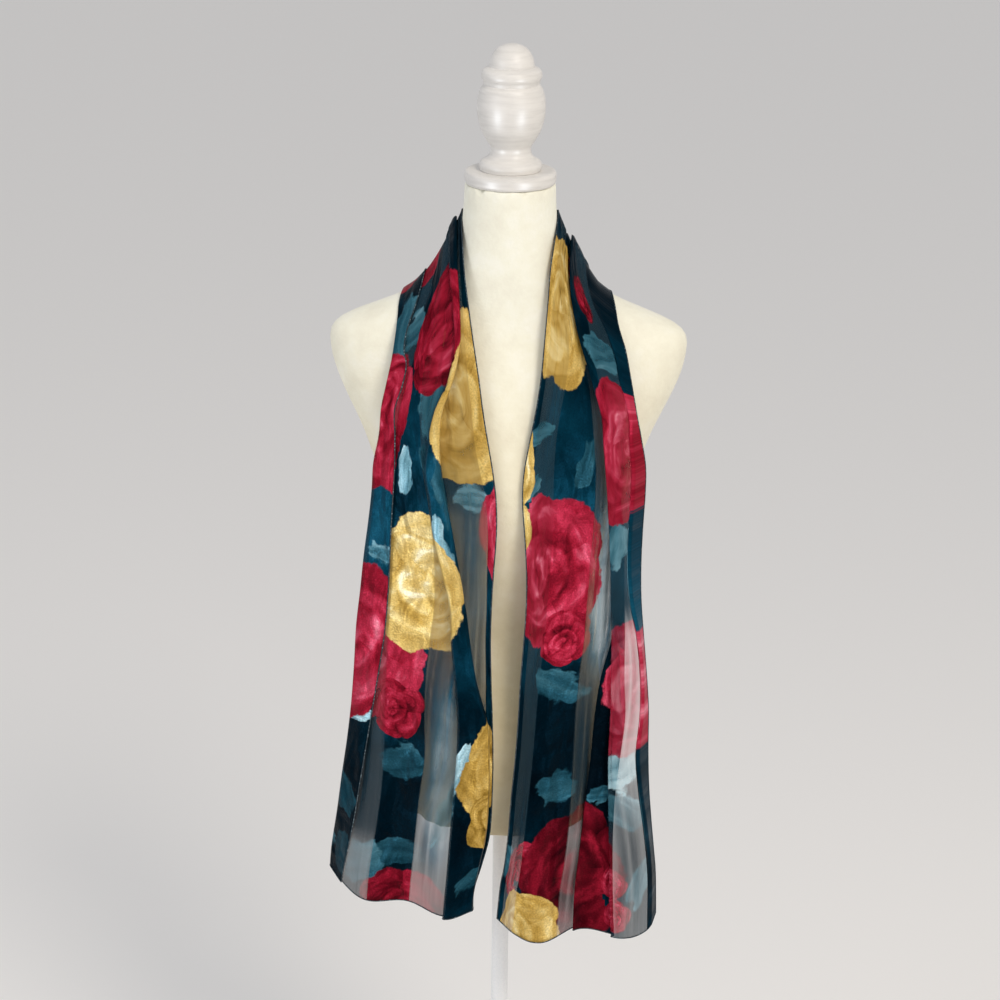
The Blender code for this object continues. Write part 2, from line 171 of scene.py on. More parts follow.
floor_shape = bmesh.new()
bmesh.ops.create_grid(floor_shape, x_segments=1, y_segments=1, size=15)
floor_mesh = bpy.data.meshes.new("Floor")
floor_shape.to_mesh(floor_mesh)
floor_shape.free()
floor = bpy.data.objects.new("Floor", floor_mesh)
bpy.context.collection.objects.link(floor)
paper, tree, shader = new_material("Matte paper floor")
connect(shader, {"Base Color": "#f4f2ef", "Roughness": 0.95, "Specular IOR Level": 0.1})
floor.data.materials.append(paper)

world = bpy.data.worlds.new("Pale room")
world.use_nodes = True
connect(world.node_tree.nodes["Background"], {"Color": "#e8e8ea", "Strength": 0.74})
bpy.context.scene.world = world
softbox("Key softbox", (1.3, -2.0, 3.1), (0, 0, 1.0), 1.1, 50, "#fff6ea")
softbox("Fill softbox", (-2.2, -1.6, 1.9), (0, 0, 1.0), 1.2, 15, "#eef4ff")
for side, place in (("Left", (-1.7, -1.7, 0.45)), ("Right", (1.5, -1.9, 0.4))):
    window = softbox(side + " low window", place, (0, 0, 0.9), 0.6, 70, "#eef6ff")
    window.visible_diffuse = False
    window.visible_transmission = False
bpy.context.scene.view_settings.view_transform = "Standard"

# %% [markdown]
# ## The form's torso
#
# The real torso is a moulded shell under a stretched cream jersey cover. The solid has the right shape
# in flat facets, so a copy of its mesh is welded, its triangles are joined to quads, and a subdivision
# surface rounds them.


# %% Finish a piece
def finish(shape, name, surface, slot, *nodes):
    """Writes a bmesh to a smooth object, which stands for the CAD nodes that are named. Its slot is not
    used.
    """
    mesh = bpy.data.meshes.new(name)
    shape.to_mesh(mesh)
    shape.free()
    mesh.materials.append(surface)
    mesh.shade_smooth()
    made = bpy.data.objects.new(name, mesh)
    bpy.context.collection.objects.link(made)
    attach(made, "root")
    if nodes:
        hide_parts(*nodes)
    return made


# %% Cream jersey
# Knitted cotton over foam: matte, with a fine nap and a faintly blotched, lived-in tone. It is whiter at
# the shoulders, and yellower below.
YELLOWER_BELOW_HEIGHT, WHITER_ABOVE_HEIGHT = 0.78, 1.2
jersey, tree, shader = new_material("Stretched cotton jersey")
place = add(tree, "TexCoord", output="Object")
blotches = add(tree, "TexNoise", {"Vector": place, "Scale": 22, "Detail": 6, "Roughness": 0.65})
height = add(tree, "SeparateXYZ", {"Vector": place}).parts()[2]
# The tone goes from yellower below to whiter towards the shoulders.
whiter_share = ((height - YELLOWER_BELOW_HEIGHT) / (WHITER_ABOVE_HEIGHT - YELLOWER_BELOW_HEIGHT)).clamped()
yellower_tone, whiter_tone = (
    add(tree, "ValToRGB", {"Fac": blotches}, stops=stops) for stops in (
        ((0.3, "#e6d7ae"), (0.5, "#efe1bb"), (0.72, "#f5eac9")),
        ((0.3, "#e4e0cf"), (0.5, "#ecead9"), (0.72, "#f1f0e5"))))
tone = add(tree, "Mix", {0: whiter_share, 6: yellower_tone, 7: whiter_tone}, data_type="RGBA", output=2)
dimples = add(tree, "TexNoise", {"Vector": place, "Scale": 160, "Detail": 4, "Roughness": 0.6})
bump = add(tree, "Bump", {"Height": dimples, "Distance": 0.0012, "Strength": 0.55})
connect(shader, {
    "Base Color": tone, "Roughness": 0.88, "Specular IOR Level": 0.25, "Sheen Weight": 0.12,
    "Normal": bump})

torso = bmesh.new()
torso.from_mesh(bpy.data.objects["form_torso"].data)
bmesh.ops.remove_doubles(torso, verts=torso.verts, dist=0.00001)
bmesh.ops.join_triangles(
    torso, faces=torso.faces, angle_face_threshold=math.radians(40),
    angle_shape_threshold=math.radians(70))
print("torso faces:", len(torso.faces))
torso_cover = finish(torso, "torso_cover", jersey, "form_cover", "form_torso")
rounding = torso_cover.modifiers.new("Rounding", "SUBSURF")
rounding.levels = rounding.render_levels = 1

# %% [markdown]
# ## Turned wood, pole and base
#
# The neck cap and the finial are wood turned on a lathe, then painted white. A lathe's work is a
# profile spun round an axis, so each piece is a few points down its outer side, made smooth, and spun.


# %% Spin a profile
PROFILE_SPACING = 1.2


def catmull_rom(a, b, c, d, t):
    """The place a share t of the way from b to c, on a smooth curve through a, b, c and d."""
    bend = 2 * a - 5 * b + 4 * c - d
    twist = 3 * b - a - 3 * c + d
    return 0.5 * (2 * b + (c - a) * t + bend * t**2 + twist * t**3)


def smooth_curve(points):
    """Points on a smooth curve through the given ones, about a profile's spacing apart."""
    points = np.asarray(points, float)
    padded = np.vstack([2 * points[0] - points[1], points, 2 * points[-1] - points[-2]])
    made = []
    for a, b, c, d in zip(padded, padded[1:], padded[2:], padded[3:]):
        count = max(1, round(float(np.linalg.norm(c - b)) / PROFILE_SPACING))
        for t in np.arange(count)[:, None] / count:
            made.append(catmull_rom(a, b, c, d, t))
    return np.vstack(made + [points[-1:]])


def turned(name, strokes, surface, slot, node, steps=96):
    """A closed turned piece from strokes of (radius, height) points in mm, with corners between them."""
    shape = bmesh.new()
    last = None
    for stroke in strokes:
        for radius, height in smooth_curve(stroke):
            here = shape.verts.new((max(radius, 0) * MM, 0, height * MM))
            if last:
                shape.edges.new((last, here))
            last = here
    bmesh.ops.spin(
        shape, geom=shape.verts[:] + shape.edges[:], axis=(0, 0, 1), cent=(0, 0, 0),
        steps=steps, angle=2 * math.pi, use_merge=True)
    bmesh.ops.remove_doubles(shape, verts=shape.verts, dist=0.00002)
    bmesh.ops.recalc_face_normals(shape, faces=shape.faces)
    made = finish(shape, name, surface, slot, node)
    made.data.set_sharp_from_angle(angle=math.radians(38))
    print(name, "faces:", len(made.data.polygons))
    return made


# %% White paint and enamel
# Brushed white paint on wood: low sheen, with faint brush streaks round the turning.
paint, tree, shader = new_material("White painted wood")
place = add(tree, "TexCoord", output="Object")
streaks = add(tree, "Mapping", {"Vector": place, "Scale": (30, 30, 260)})
brush = add(tree, "TexNoise", {"Vector": streaks, "Scale": 1.0, "Detail": 5})
bump = add(tree, "Bump", {"Height": brush, "Distance": 0.0004, "Strength": 0.35})
connect(shader, {
    "Base Color": add(tree, "ValToRGB", {"Fac": brush}, stops=((0.3, "#d0cdc8"), (0.6, "#dcd9d4"))),
    "Roughness": 0.42, "Specular IOR Level": 0.45, "Normal": bump})

# Powder-coated steel: smooth white, a little harder and glossier than the paint.
enamel, tree, shader = new_material("White powder-coated steel")
place = add(tree, "TexCoord", output="Object")
peel = add(tree, "TexNoise", {"Vector": place, "Scale": 420})
bump = add(tree, "Bump", {"Height": peel, "Distance": 0.0002, "Strength": 0.4})
connect(shader, {
    "Base Color": add(tree, "ValToRGB", {"Fac": peel}, stops=((0.3, "#eceded"), (0.7, "#f4f4f3"))),
    "Roughness": 0.3, "Normal": bump})

# %% Cap, finial, pole and base
turned("neck_cap_turned", [
    [(0, 1320.8), (43.5, 1320.8)],
    [(43.5, 1320.8), (46.4, 1319.6), (47.3, 1317.0), (47.2, 1312.5), (47.0, 1309.5)],
    [(47.0, 1309.5), (45.8, 1307.3)],
    [(45.8, 1307.3), (0, 1307.3)],
], paint, "painted_wood", "neck_cap")
turned("finial_turned", [
    [(0, 1450), (8, 1448.8), (16, 1444.4), (21.3, 1436.5), (23.2, 1427)],
    [(23.2, 1427), (29.4, 1423.4), (31.1, 1417.8), (29.4, 1412.7)],
    [(29.4, 1412.7), (28.6, 1409)],
    [(28.6, 1409), (32.4, 1403), (35.0, 1390), (34.4, 1376), (31.0, 1362.5), (25.4, 1352), (21.2, 1345),
     (20.8, 1340)],
    [(20.8, 1340), (22.4, 1336), (25.5, 1333)],
    [(25.5, 1333), (30.6, 1330), (32.4, 1326), (31.6, 1321.1)],
    [(31.6, 1321.1), (0, 1321.1)],
], paint, "painted_wood", "finial")
turned("pole_tube", [
    [(0, 599.7), (9.5, 599.7)],
    [(9.5, 599.7), (9.5, 12.3)],
    [(9.5, 12.3), (0, 12.3)],
], enamel, "enamel", "pole", steps=64)
turned("base_disc", [
    [(0, 12), (16, 12)],
    [(16, 12), (19.5, 11.4), (23, 9.8), (28, 9.1), (60, 8.4)],
    [(60, 8.4), (185, 7.0)],
    [(185, 7.0), (188.4, 5.8), (190, 3.2), (189.3, 1.0), (187, 0)],
    [(187, 0), (0, 0)],
], enamel, "enamel", "base_plate")

# %% [markdown]
# ## The scarf's drape
#
# The strip is 290 mm wide and its rows run across it, from the free outer edge to the edge at the neck.
# A row lies at one height of a hanging end, or askew over a shoulder, or upright behind the neck. Each
# row is a folded line: its creases are turns that join one layer to the next. Tables say where each
# crease lies at each height. A cloth simulation would find folds of its own, so the creases are listed
# instead, and the grid's columns follow them. Between the tabled rows the cloth runs on a
# smooth curve.


# %% Curves through tables
def curve_through(rows):
    """A function that reads a table's other columns at a key, on a smooth curve through its rows."""
    rows = np.array(rows, float)
    keys, values = rows[:, 0], rows[:, 1:]
    before = np.maximum(np.arange(len(keys)) - 1, 0)
    after = np.minimum(np.arange(len(keys)) + 1, len(keys) - 1)
    slopes = (values[after] - values[before]) / (keys[after] - keys[before])[:, None]

    def read(key):
        key = np.clip(key, keys[0], keys[-1])
        row = np.clip(np.searchsorted(keys, key, side="right") - 1, 0, len(keys) - 2)
        step = keys[row + 1] - keys[row]
        t = ((key - keys[row]) / step)[..., None]
        step = np.asarray(step)[..., None]
        return (
            (2 * t**3 - 3 * t**2 + 1) * values[row] + (t**3 - 2 * t**2 + t) * step * slopes[row]
            + (3 * t**2 - 2 * t**3) * values[row + 1] + (t**3 - t**2) * step * slopes[row + 1])

    return read


def smoothstep(start, end, value):
    """0 up to the start, 1 from the end on, and a smooth rise between them."""
    t = np.clip((value - start) / (end - start), 0, 1)
    return t * t * (3 - 2 * t)


# %% The form under the cloth
CLEARANCE, LAYING_STEPS = 1.6, 12
# Height, half width, depth in front and depth behind.
torso_at = curve_through([
    (600, 104, 84, 84), (650, 106, 89, 89), (700, 107, 92, 90), (745, 106, 91, 87), (800, 102, 85, 80),
    (845, 100, 82, 74), (890, 104, 90, 74), (935, 116, 101, 78), (980, 131, 111, 84),
    (1015, 143, 113, 88), (1050, 156, 107, 91), (1085, 173, 95, 92), (1120, 186, 80, 88),
    (1143, 189, 69, 82), (1155, 185, 63, 76), (1165, 167, 59, 70), (1175, 141, 56, 65),
    (1186, 113, 53.5, 60), (1200, 90, 51.5, 56), (1213, 74, 50.5, 54), (1228, 60.5, 49.5, 52),
    (1245, 53, 48, 49), (1275, 48.5, 47, 47), (1307, 47, 47, 47),
])


def form_level(points):
    """1 on the torso's surface, less inside it and more outside."""
    half_width, front, back = np.moveaxis(torso_at(points[..., 2]), -1, 0)
    depth = np.where(points[..., 1] < 0, front, back)
    return np.hypot(points[..., 0] / half_width, points[..., 1] / depth)


def form_rise(points):
    """The direction away from the torso, and how fast the level rises that way."""
    steps = 0.5 * np.eye(3)
    rise = np.stack([form_level(points + step) - form_level(points - step) for step in steps], axis=-1)
    rate = np.linalg.norm(rise, axis=-1, keepdims=True)
    return rise / rate, rate[..., 0]


def laid_on_form(points):
    """Moves points that are too near the torso out to the clearance, in a few steps."""
    points = np.array(points, float)
    for _ in range(LAYING_STEPS):
        away, rate = form_rise(points)
        short = CLEARANCE - (form_level(points) - 1) / rate
        points += away * np.maximum(short, 0)[..., None]
    return points


# %% [markdown]
# ## Creases
#
# Left end: the outer satin turns back to the front at the outline (`edge`, `fold`). The broad run goes
# in to a tuck under the front pleat (`pleat_left`, `pleat_right`), and comes out behind it to the neck
# side. Right end: the outer satin hangs edge-on (`edge`, `stripe`), and the broad inner run turns back
# twice under the outer pleat. The other columns say where the woven stripes meet: s83, for one, is
# 83 mm in from the outer edge.


# %% Crease tables
CLOTH_WIDTH = 290
Left = namedtuple("Left", "height edge fold s83 s131 tuck pleat_left pleat_right behind s275 inner")
LEFT_CREASES = [Left(*row) for row in (
    (520, -174, -188, -143, -96, -52, -57, -24, -52, -34, -26),
    (560, -168, -185, -140, -93, -50, -54, -22, -50, -30, -21),
    (600, -160, -180, -134, -89, -47, -51, -14, -43, -23, -10),
    (650, -152, -173, -127, -85, -43, -48, -9, -38, -18, -6),
    (700, -144, -166, -123, -78, -39, -44, -8, -36, -15, -5),
    (750, -136, -160, -122, -78, -38, -42, -10, -36, -13, -6),
    (800, -128, -156, -120, -77, -40, -45, -22, -42, -13, -8),
    (850, -121, -153, -118, -72, -41, -50, -31, -47, -14, -9),
    (900, -117, -147, -116, -67, -45, -53, -38, -50, -13, -8),
    (950, -115, -142, -115, -70, -53, -68, -46, -54, -13, -5),
    (985, -113, -136, -113, -73, -59, -71, -53, -60, -13, -4),
    (1020, -111, -135, -112, -80, -66, -77, -59, -66, -19, -7),
    (1050, -110, -130, -111, -83, -71, -79, -64, -72, -26, -12),
    (1075, -111, -125, -108, -84, -65, -70, -61, -70, -30, -17),
    (1100, -105, -121, -101, -84, -60, -65, -58, -69, -33, -22),
    (1125, -99, -117, -95, -82, -49, -53, -48, -66, -37, -26),
    (1150, -103, -114, -90, -78, -47, -51, -45, -65, -40, -31),
    (1175, -99, -112, -88, -74, -47, -51, -45, -66, -43, -35),
    (1200, -91, -109, -80, -71, -49, -54, -47, -69, -45, -40),
    (1225, -86, -108, -76, -68, -51, -56, -49, -72, -48, -44),
    (1250, -85, -108, -74, -66, -53, -58, -51, -75, -50, -47),
    (1276, -85, -108, -74, -66, -55, -60, -53, -76, -52, -50),
)]
Right = namedtuple("Right", "height edge stripe over under satin behind s179 s227 s275 inner")
RIGHT_CREASES = [Right(*row) for row in (
    (480, 175, 169, 127, 130, 84, 99, 66, 18, 6, 1),
    (525, 174, 168, 125, 128, 85, 100, 67, 18, 8, 3),
    (560, 172, 167, 123, 126, 86, 102, 70, 24, 11, 6),
    (600, 168, 163, 121, 125, 89, 106, 75, 28, 16, 11),
    (650, 163, 156, 119, 125, 93, 109, 78, 32, 19, 14),
    (700, 160, 149, 119, 129, 98, 113, 80, 36, 23, 18),
    (750, 159, 152, 119, 134, 101, 115, 81, 39, 26, 21),
    (800, 155, 151, 118, 132, 107, 120, 84, 42, 28, 23),
    (850, 150, 145, 117, 131, 118, 128, 89, 47, 31, 26),
    (900, 146, 135, 115, 129, 118, 129, 91, 50, 32, 28),
    (950, 146, 133, 113, 127, 116, 127, 94, 52, 30, 26),
    (985, 147, 134, 110, 124, 113, 124, 96, 53, 32, 23),
    (1020, 148, 135, 107, 120, 109, 115, 97, 53, 33, 22),
    (1050, 144, 133, 105, 117, 107, 104, 95, 54, 34, 26),
    (1075, 138, 129, 100, 112, 102, 100, 92, 56, 36, 30),
    (1100, 133, 124, 94, 106, 97, 99, 90, 60, 40, 35),
    (1125, 128, 117, 86, 97, 89, 93, 84, 64, 43, 38),
    (1150, 122, 112, 78, 89, 81, 85, 78, 66, 45, 40),
    (1175, 110, 101, 71, 81, 74, 78, 72, 64, 46, 41),
    (1200, 105, 88, 65, 74, 68, 72, 67, 61, 48, 43),
    (1225, 104, 80, 61, 69, 64, 67, 63, 57, 50, 44),
    (1250, 104, 80, 60, 69, 63, 66, 62, 58, 52, 47),
    (1277, 104, 82, 61, 70, 64, 67, 63, 59, 55, 50),
)]

# %% [markdown]
# A turn of the folded strip says its x, the layers that it joins, and how many points the run after it
# gets. Seven points go round the turn itself, on a half circle. Marks tie a place on a run to mm in
# from the outer edge.

# %% Turns of the two ends
Turn = namedtuple("Turn", "x layer next_layer columns")
ROUND_POINTS, TURN_REACH, LARGEST_SHARE, MARK_GAP = 7, 1.6, 0.45, 0.01


def left_turns(at):
    """The turns at one height of the left end. Near the shoulder the turned satin lies deeper."""
    ease = smoothstep(1100, 1200, at.height)
    turns = [
        Turn(at.edge, 3 - ease, 3 - ease, 9), Turn(at.fold, 3 - 1.8 * ease, 2 - 1.8 * ease, 42),
        Turn(at.tuck, 2, 3, 4), Turn(at.pleat_left, 3, 4, 14), Turn(at.pleat_right, 4, 1, 7),
        Turn(at.behind, 1, 0, 22), Turn(at.inner, 0, 0, 0),
    ]
    marks = [(0, 0, 0), (1, at.s83, 83), (1, at.s131, 131), (3, at.pleat_left, 179), (5, at.s275, 275)]
    return turns, marks


def right_turns(at):
    """The turns at one height of the right end. Near the shoulder its edge-on satin lies deeper."""
    stripe_layer = 4 - 1.6 * smoothstep(1000, 1120, at.height)
    turns = [
        Turn(at.edge, 0.8, 0.8, 9), Turn(at.stripe, stripe_layer, stripe_layer, 22),
        Turn(at.over, 4, 3, 5), Turn(at.under, 3, 2, 14), Turn(at.satin, 2, 1, 7),
        Turn(at.behind, 1, 0, 41), Turn(at.inner, 0, 0, 0),
    ]
    marks = [(0, 0, 0), (1, at.stripe, 35), (5, at.s179, 179), (5, at.s227, 227), (5, at.s275, 275)]
    return turns, marks


# %% The folded strip's cross-section
def round_turn(before, turn, after):
    """Points (x, layer) round a turn, drawn in where the runs beside it are short."""
    angles = np.linspace(-0.5 * math.pi, 0.5 * math.pi, ROUND_POINTS)
    side_in, side_out = (
        math.copysign(min(TURN_REACH, LARGEST_SHARE * abs(run)), run)
        for run in (turn.x - before.x, after.x - turn.x))
    back = 1 - np.cos(angles)
    x = turn.x - np.where(angles < 0, back * side_in, -back * side_out)
    return np.column_stack([x, turn.layer + (turn.next_layer - turn.layer) * (1 + np.sin(angles)) / 2])


def cross_section(turns, marks, layer_gap):
    """Points (x, layer, mm in from the outer edge) along the folded strip, to its neck side."""
    # Each run's columns are spaced evenly between the turns at its ends.
    pieces = [[(turns[0].x, turns[0].layer)]]
    starts = []
    for before, turn, after in zip(turns, turns[1:], turns[2:] + [None]):
        corner = round_turn(before, turn, after) if after else np.array([(turn.x, turn.layer)])
        share = np.arange(1, before.columns + 1)[:, None] / (before.columns + 1)
        starts.append(sum(len(piece) for piece in pieces) - 1)
        pieces.append(np.array(pieces[-1][-1]) * (1 - share) + corner[0] * share)
        pieces.append(corner)
    points = np.vstack(pieces)
    starts.append(len(points) - 1)
    reach = np.concatenate([[0], np.cumsum(np.hypot(*(np.diff(points, axis=0) * (1, layer_gap)).T))])
    # The marks say how far across the cloth some places lie, and all others lie between them.
    known = []
    for run, x, across in marks:
        run_x = points[starts[run]:starts[run + 1] + 1, 0]
        run_reach = reach[starts[run]:starts[run + 1] + 1]
        order = np.argsort(run_x)
        known.append((np.interp(x, run_x[order], run_reach[order]), across))
    known.append((reach[-1], CLOTH_WIDTH))
    at, across = np.maximum.accumulate(np.array(known, float), axis=0).T
    at += np.arange(len(at)) * MARK_GAP
    return np.column_stack([points, np.interp(reach, at, across)])


# %% [markdown]
# ## Rows
#
# Over a shoulder a row lies askew, so its neck side and its outer side have their own heights and
# depths, and it sags into the hollow beside the neck. The layers are stacked away from the form. Lower
# down the cloth hangs level, free of the form below the bust, and takes up soft waves towards the hem.

# %% Stations of the two fronts
Station = namedtuple("Station", "inner_height outer_height inner_y outer_y sag layer_gap")
LEFT_SHOULDER = [Station(*row) for row in (
    (1276, 1191, 2, 2, 15, 1.2), (1264, 1181, -14, -20, 14, 1.2), (1249, 1171, -30, -40, 11, 1.3),
    (1226, 1156, -46, -58, 8, 1.5), (1196, 1138, -60, -68, 4, 1.8), (1160, 1122, -76, -74, 0, 2.2),
    (1124, 1106, -89, -79, 0, 2.5), (1090, 1086, -102, -83, 0, 2.6),
)]
RIGHT_SHOULDER = [Station(*row) for row in (
    (1277, 1190, 2, 2, 15, 1.2), (1264, 1180, -14, -20, 14, 1.2), (1249, 1166, -30, -40, 11, 1.3),
    (1226, 1149, -46, -56, 8, 1.5), (1196, 1131, -60, -66, 4, 1.8), (1160, 1114, -76, -73, 0, 2.2),
    (1124, 1100, -89, -78, 0, 2.5), (1090, 1082, -102, -82, 0, 2.6),
)]
HANGING_HEIGHTS = [1060, 1030, 1000, 965, 925, 885, 845, 800, 755, 710, 665, 620, 580, 548]
LEFT_HEM = [(-190, 546), (-172, 532), (-146, 525), (-97, 531), (-56, 527), (-26, 537)]
RIGHT_HEM = [(0, 521), (20, 503), (50, 495), (90, 505), (140, 494), (165, 493), (177, 505)]
# An end is its crease table, the name of its outermost crease, the turns at a height, its stations on
# the shoulder, its hem (x, height), and the x of a wave's crest.
End = namedtuple("End", "creases outermost turns_at shoulder hem wave_x")
LEFT = End(LEFT_CREASES, "fold", left_turns, LEFT_SHOULDER, LEFT_HEM, -53)
RIGHT = End(RIGHT_CREASES, "edge", right_turns, RIGHT_SHOULDER, RIGHT_HEM, 50)
CHEST_HEIGHT, BUST_HEIGHT, HEM_ZONE = 1110, 1010, 110
LAYER_ON_CHEST, LAYER_HANGING = 2.6, 3.8
CURTAIN_HALF_WIDTH, CURTAIN_DEPTH, CURTAIN_POWER, CURTAIN_SHARE = 212, 119, 1.7, 0.995
CHEST_EASE, WAVE_LENGTH, WAVE_DEPTH, CROSSING_STEPS = 0.09, 92, 12, 30


# %% Rows over a shoulder
def creases_on(end, station):
    """Each crease's x where it crosses a station that lies askew, and the station's own two ends."""
    kind = type(end.creases[0])
    read = curve_through(end.creases)
    inner = kind(0, *read(station.inner_height)).inner
    outer = getattr(kind(0, *read(station.outer_height)), end.outermost)
    crossings = []
    for column in range(len(kind._fields) - 1):
        share = 0.5
        for _ in range(CROSSING_STEPS):
            height = station.inner_height + share * (station.outer_height - station.inner_height)
            x = read(height)[column]
            share = float(np.clip((x - inner) / (outer - inner), 0, 1))
        crossings.append(inner + share * (outer - inner))
    return kind((station.inner_height + station.outer_height) / 2, *crossings), inner, outer


def stacked(inner, outer, share, layer, sag, layer_gap):
    """A row laid on the form between two points, its layers stacked away from the form."""
    inner, outer = np.array(inner, float), np.array(outer, float)
    share, layer = share[:, None], layer[:, None]
    foot = inner + share * (outer - inner)
    foot[:, 2] -= (sag * 4 * share * (1 - share))[:, 0]
    # The layers rise square to the form at both ends of the row, and turn evenly between them.
    first, last = (form_rise(laid_on_form(tip[None]))[0] for tip in (inner, outer))
    away = first + share * (last - first)
    away /= np.linalg.norm(away, axis=1, keepdims=True)
    return laid_on_form(foot) + away * layer * layer_gap


def shoulder_section(end, station):
    """(share from the neck side to the outer side, layer, mm across) on a station over the shoulder."""
    creases, inner, outer = creases_on(end, station)
    section = cross_section(*end.turns_at(creases), station.layer_gap)
    return (section[:, 0] - inner) / (outer - inner), section[:, 1], section[:, 2], inner, outer


# %% Rows of a hanging end
def hanging_row(end, height):
    """A level row of a hanging end, drawn up towards the hem's corners."""
    creases = type(end.creases[0])(height, *curve_through(end.creases)(height))
    on_chest = smoothstep(BUST_HEIGHT, CHEST_HEIGHT, height)
    layer_gap = LAYER_HANGING + on_chest * (LAYER_ON_CHEST - LAYER_HANGING)
    x, layer, across = cross_section(*end.turns_at(creases), layer_gap).T
    lowest = min(level for _, level in end.hem)
    near_hem = 1 - smoothstep(lowest, lowest + HEM_ZONE, height)
    drawn_up = near_hem * (curve_through(end.hem)(x)[:, 0] - lowest)
    swing = (1 + np.cos(2 * math.pi * (x - end.wave_x) / WAVE_LENGTH)) / 2
    wave = WAVE_DEPTH * (1 - smoothstep(lowest, BUST_HEIGHT, height)) * swing
    reach = np.minimum(np.abs(x) / CURTAIN_HALF_WIDTH, CURTAIN_SHARE)
    bow = (1 - reach**CURTAIN_POWER) ** (1 / CURTAIN_POWER)
    depth = -CURTAIN_DEPTH * bow * (1 - CHEST_EASE * on_chest)
    foot = laid_on_form(np.column_stack([x, depth, height + drawn_up]))
    foot[:, 1] -= layer * layer_gap + wave
    return foot, across


def front_rows(end):
    """All tabled rows of one front, from the shoulder's ridge to the hem: points and mm across."""
    rows = []
    for station in end.shoulder:
        share, layer, across, inner, outer = shoulder_section(end, station)
        neck_side = (inner, station.inner_y, station.inner_height)
        outer_side = (outer, station.outer_y, station.outer_height)
        laid = stacked(neck_side, outer_side, share, layer, station.sag, station.layer_gap)
        rows.append((laid, across))
    for height in HANGING_HEIGHTS + [min(level for _, level in end.hem)]:
        rows.append(hanging_row(end, height))
    return rows


# %% [markdown]
# Behind the neck the folds first open, still on their own layers, then settle into waves round the
# nape. No two of the waves have the same width or depth.

# %% Stations behind the neck
RIDGE_Y = 2
NECK_SIDE, OUTER_SIDE = (50, 51), (106, 77)
NAPE_HEIGHT, BACK_HEIGHT = 1268, 1166
NECK_STATIONS, NECK_WAVES, NECK_WAVE_DEPTH = 19, 8, 5.2
MIDDLE_LAYER, UNEVEN_SPACING, UNEVEN_DEPTH = 2, 0.035, 0.5
OPENED_AT, FLATTENED_FROM, FLATTENED_AT = 0.24, 0.18, 0.45


def neck_rows():
    """All tabled rows from the left shoulder's ridge round the nape to the right one's."""
    left, right = (shoulder_section(end, end.shoulder[0])[:3] for end in (LEFT, RIGHT))
    even = 1 - np.arange(len(left[0])) / (len(left[0]) - 1)
    rows = []
    for i in range(1, NECK_STATIONS - 1):
        turn = i / (NECK_STATIONS - 1)
        sideways, backwards = -math.cos(math.pi * turn), math.sin(math.pi * turn)
        ridge = (LEFT if turn < 0.5 else RIGHT).shoulder[0]
        share, layer, across = left if turn < 0.5 else right
        at_nape = smoothstep(0, 1, backwards)
        inner_height = ridge.inner_height + at_nape * (NAPE_HEIGHT - ridge.inner_height)
        outer_height = ridge.outer_height + at_nape * (BACK_HEIGHT - ridge.outer_height)
        from_ridge = min(turn, 1 - turn)
        opened = smoothstep(0, OPENED_AT, from_ridge)
        flattened = smoothstep(FLATTENED_FROM, FLATTENED_AT, from_ridge)
        place = even + UNEVEN_SPACING * np.sin(7 * even + 1.5 * turn)
        depth = NECK_WAVE_DEPTH * (1 + UNEVEN_DEPTH * np.sin(10.7 * even + 0.6 + 2 * turn))
        wave = MIDDLE_LAYER + depth / LAYER_ON_CHEST * np.cos(2 * math.pi * NECK_WAVES * place)
        points = stacked(
            (NECK_SIDE[0] * sideways, RIDGE_Y + NECK_SIDE[1] * backwards, inner_height),
            (OUTER_SIDE[0] * sideways, RIDGE_Y + OUTER_SIDE[1] * backwards, outer_height),
            share + opened * (even - share), layer + flattened * (wave - layer),
            ridge.sag * (1 - at_nape), ridge.layer_gap + opened * (LAYER_ON_CHEST - ridge.layer_gap))
        rows.append((points, across + opened * (CLOTH_WIDTH * (1 - even) - across)))
    return rows


# %% Drape the tabled rows
left_front, right_front = front_rows(LEFT), front_rows(RIGHT)
tabled = left_front[::-1] + neck_rows() + right_front
points = np.array([row for row, _ in tabled])
across = np.array([row for _, row in tabled])
lengths = np.linalg.norm(np.diff(points, axis=0), axis=2).mean(axis=1)
along = np.concatenate([[0], np.cumsum(lengths)])
print("tabled rows:", len(points), " columns:", points.shape[1], " length:", round(along[-1]), "mm")
print("left front:", round(along[len(left_front) - 1]), "mm")
print("right front:", round(along[-1] - along[-len(right_front)]), "mm")


# %% Fill in between the rows
ROW_SPACING = 6.6


def filled_in(values):
    """Rows on a smooth curve through the tabled ones, about a row's spacing apart."""
    steps = []
    for i in range(len(along) - 1):
        count = max(1, round((along[i + 1] - along[i]) / ROW_SPACING))
        steps += [i + t / count for t in range(count)]
    steps = np.array(steps + [len(along) - 1.0])
    row = np.minimum(steps.astype(int), len(along) - 2)
    t = (steps - row).reshape(-1, *[1] * (values.ndim - 1))
    a, b = values[np.maximum(row - 1, 0)], values[row]
    c, d = values[row + 1], values[np.minimum(row + 2, len(values) - 1)]
    return catmull_rom(a, b, c, d, t)


drape = filled_in(points)
flat_across = np.clip(filled_in(across), 0, CLOTH_WIDTH)
flat_along = filled_in(along)[:, None] + 0 * flat_across
print("rows:", drape.shape[0], " columns:", drape.shape[1])
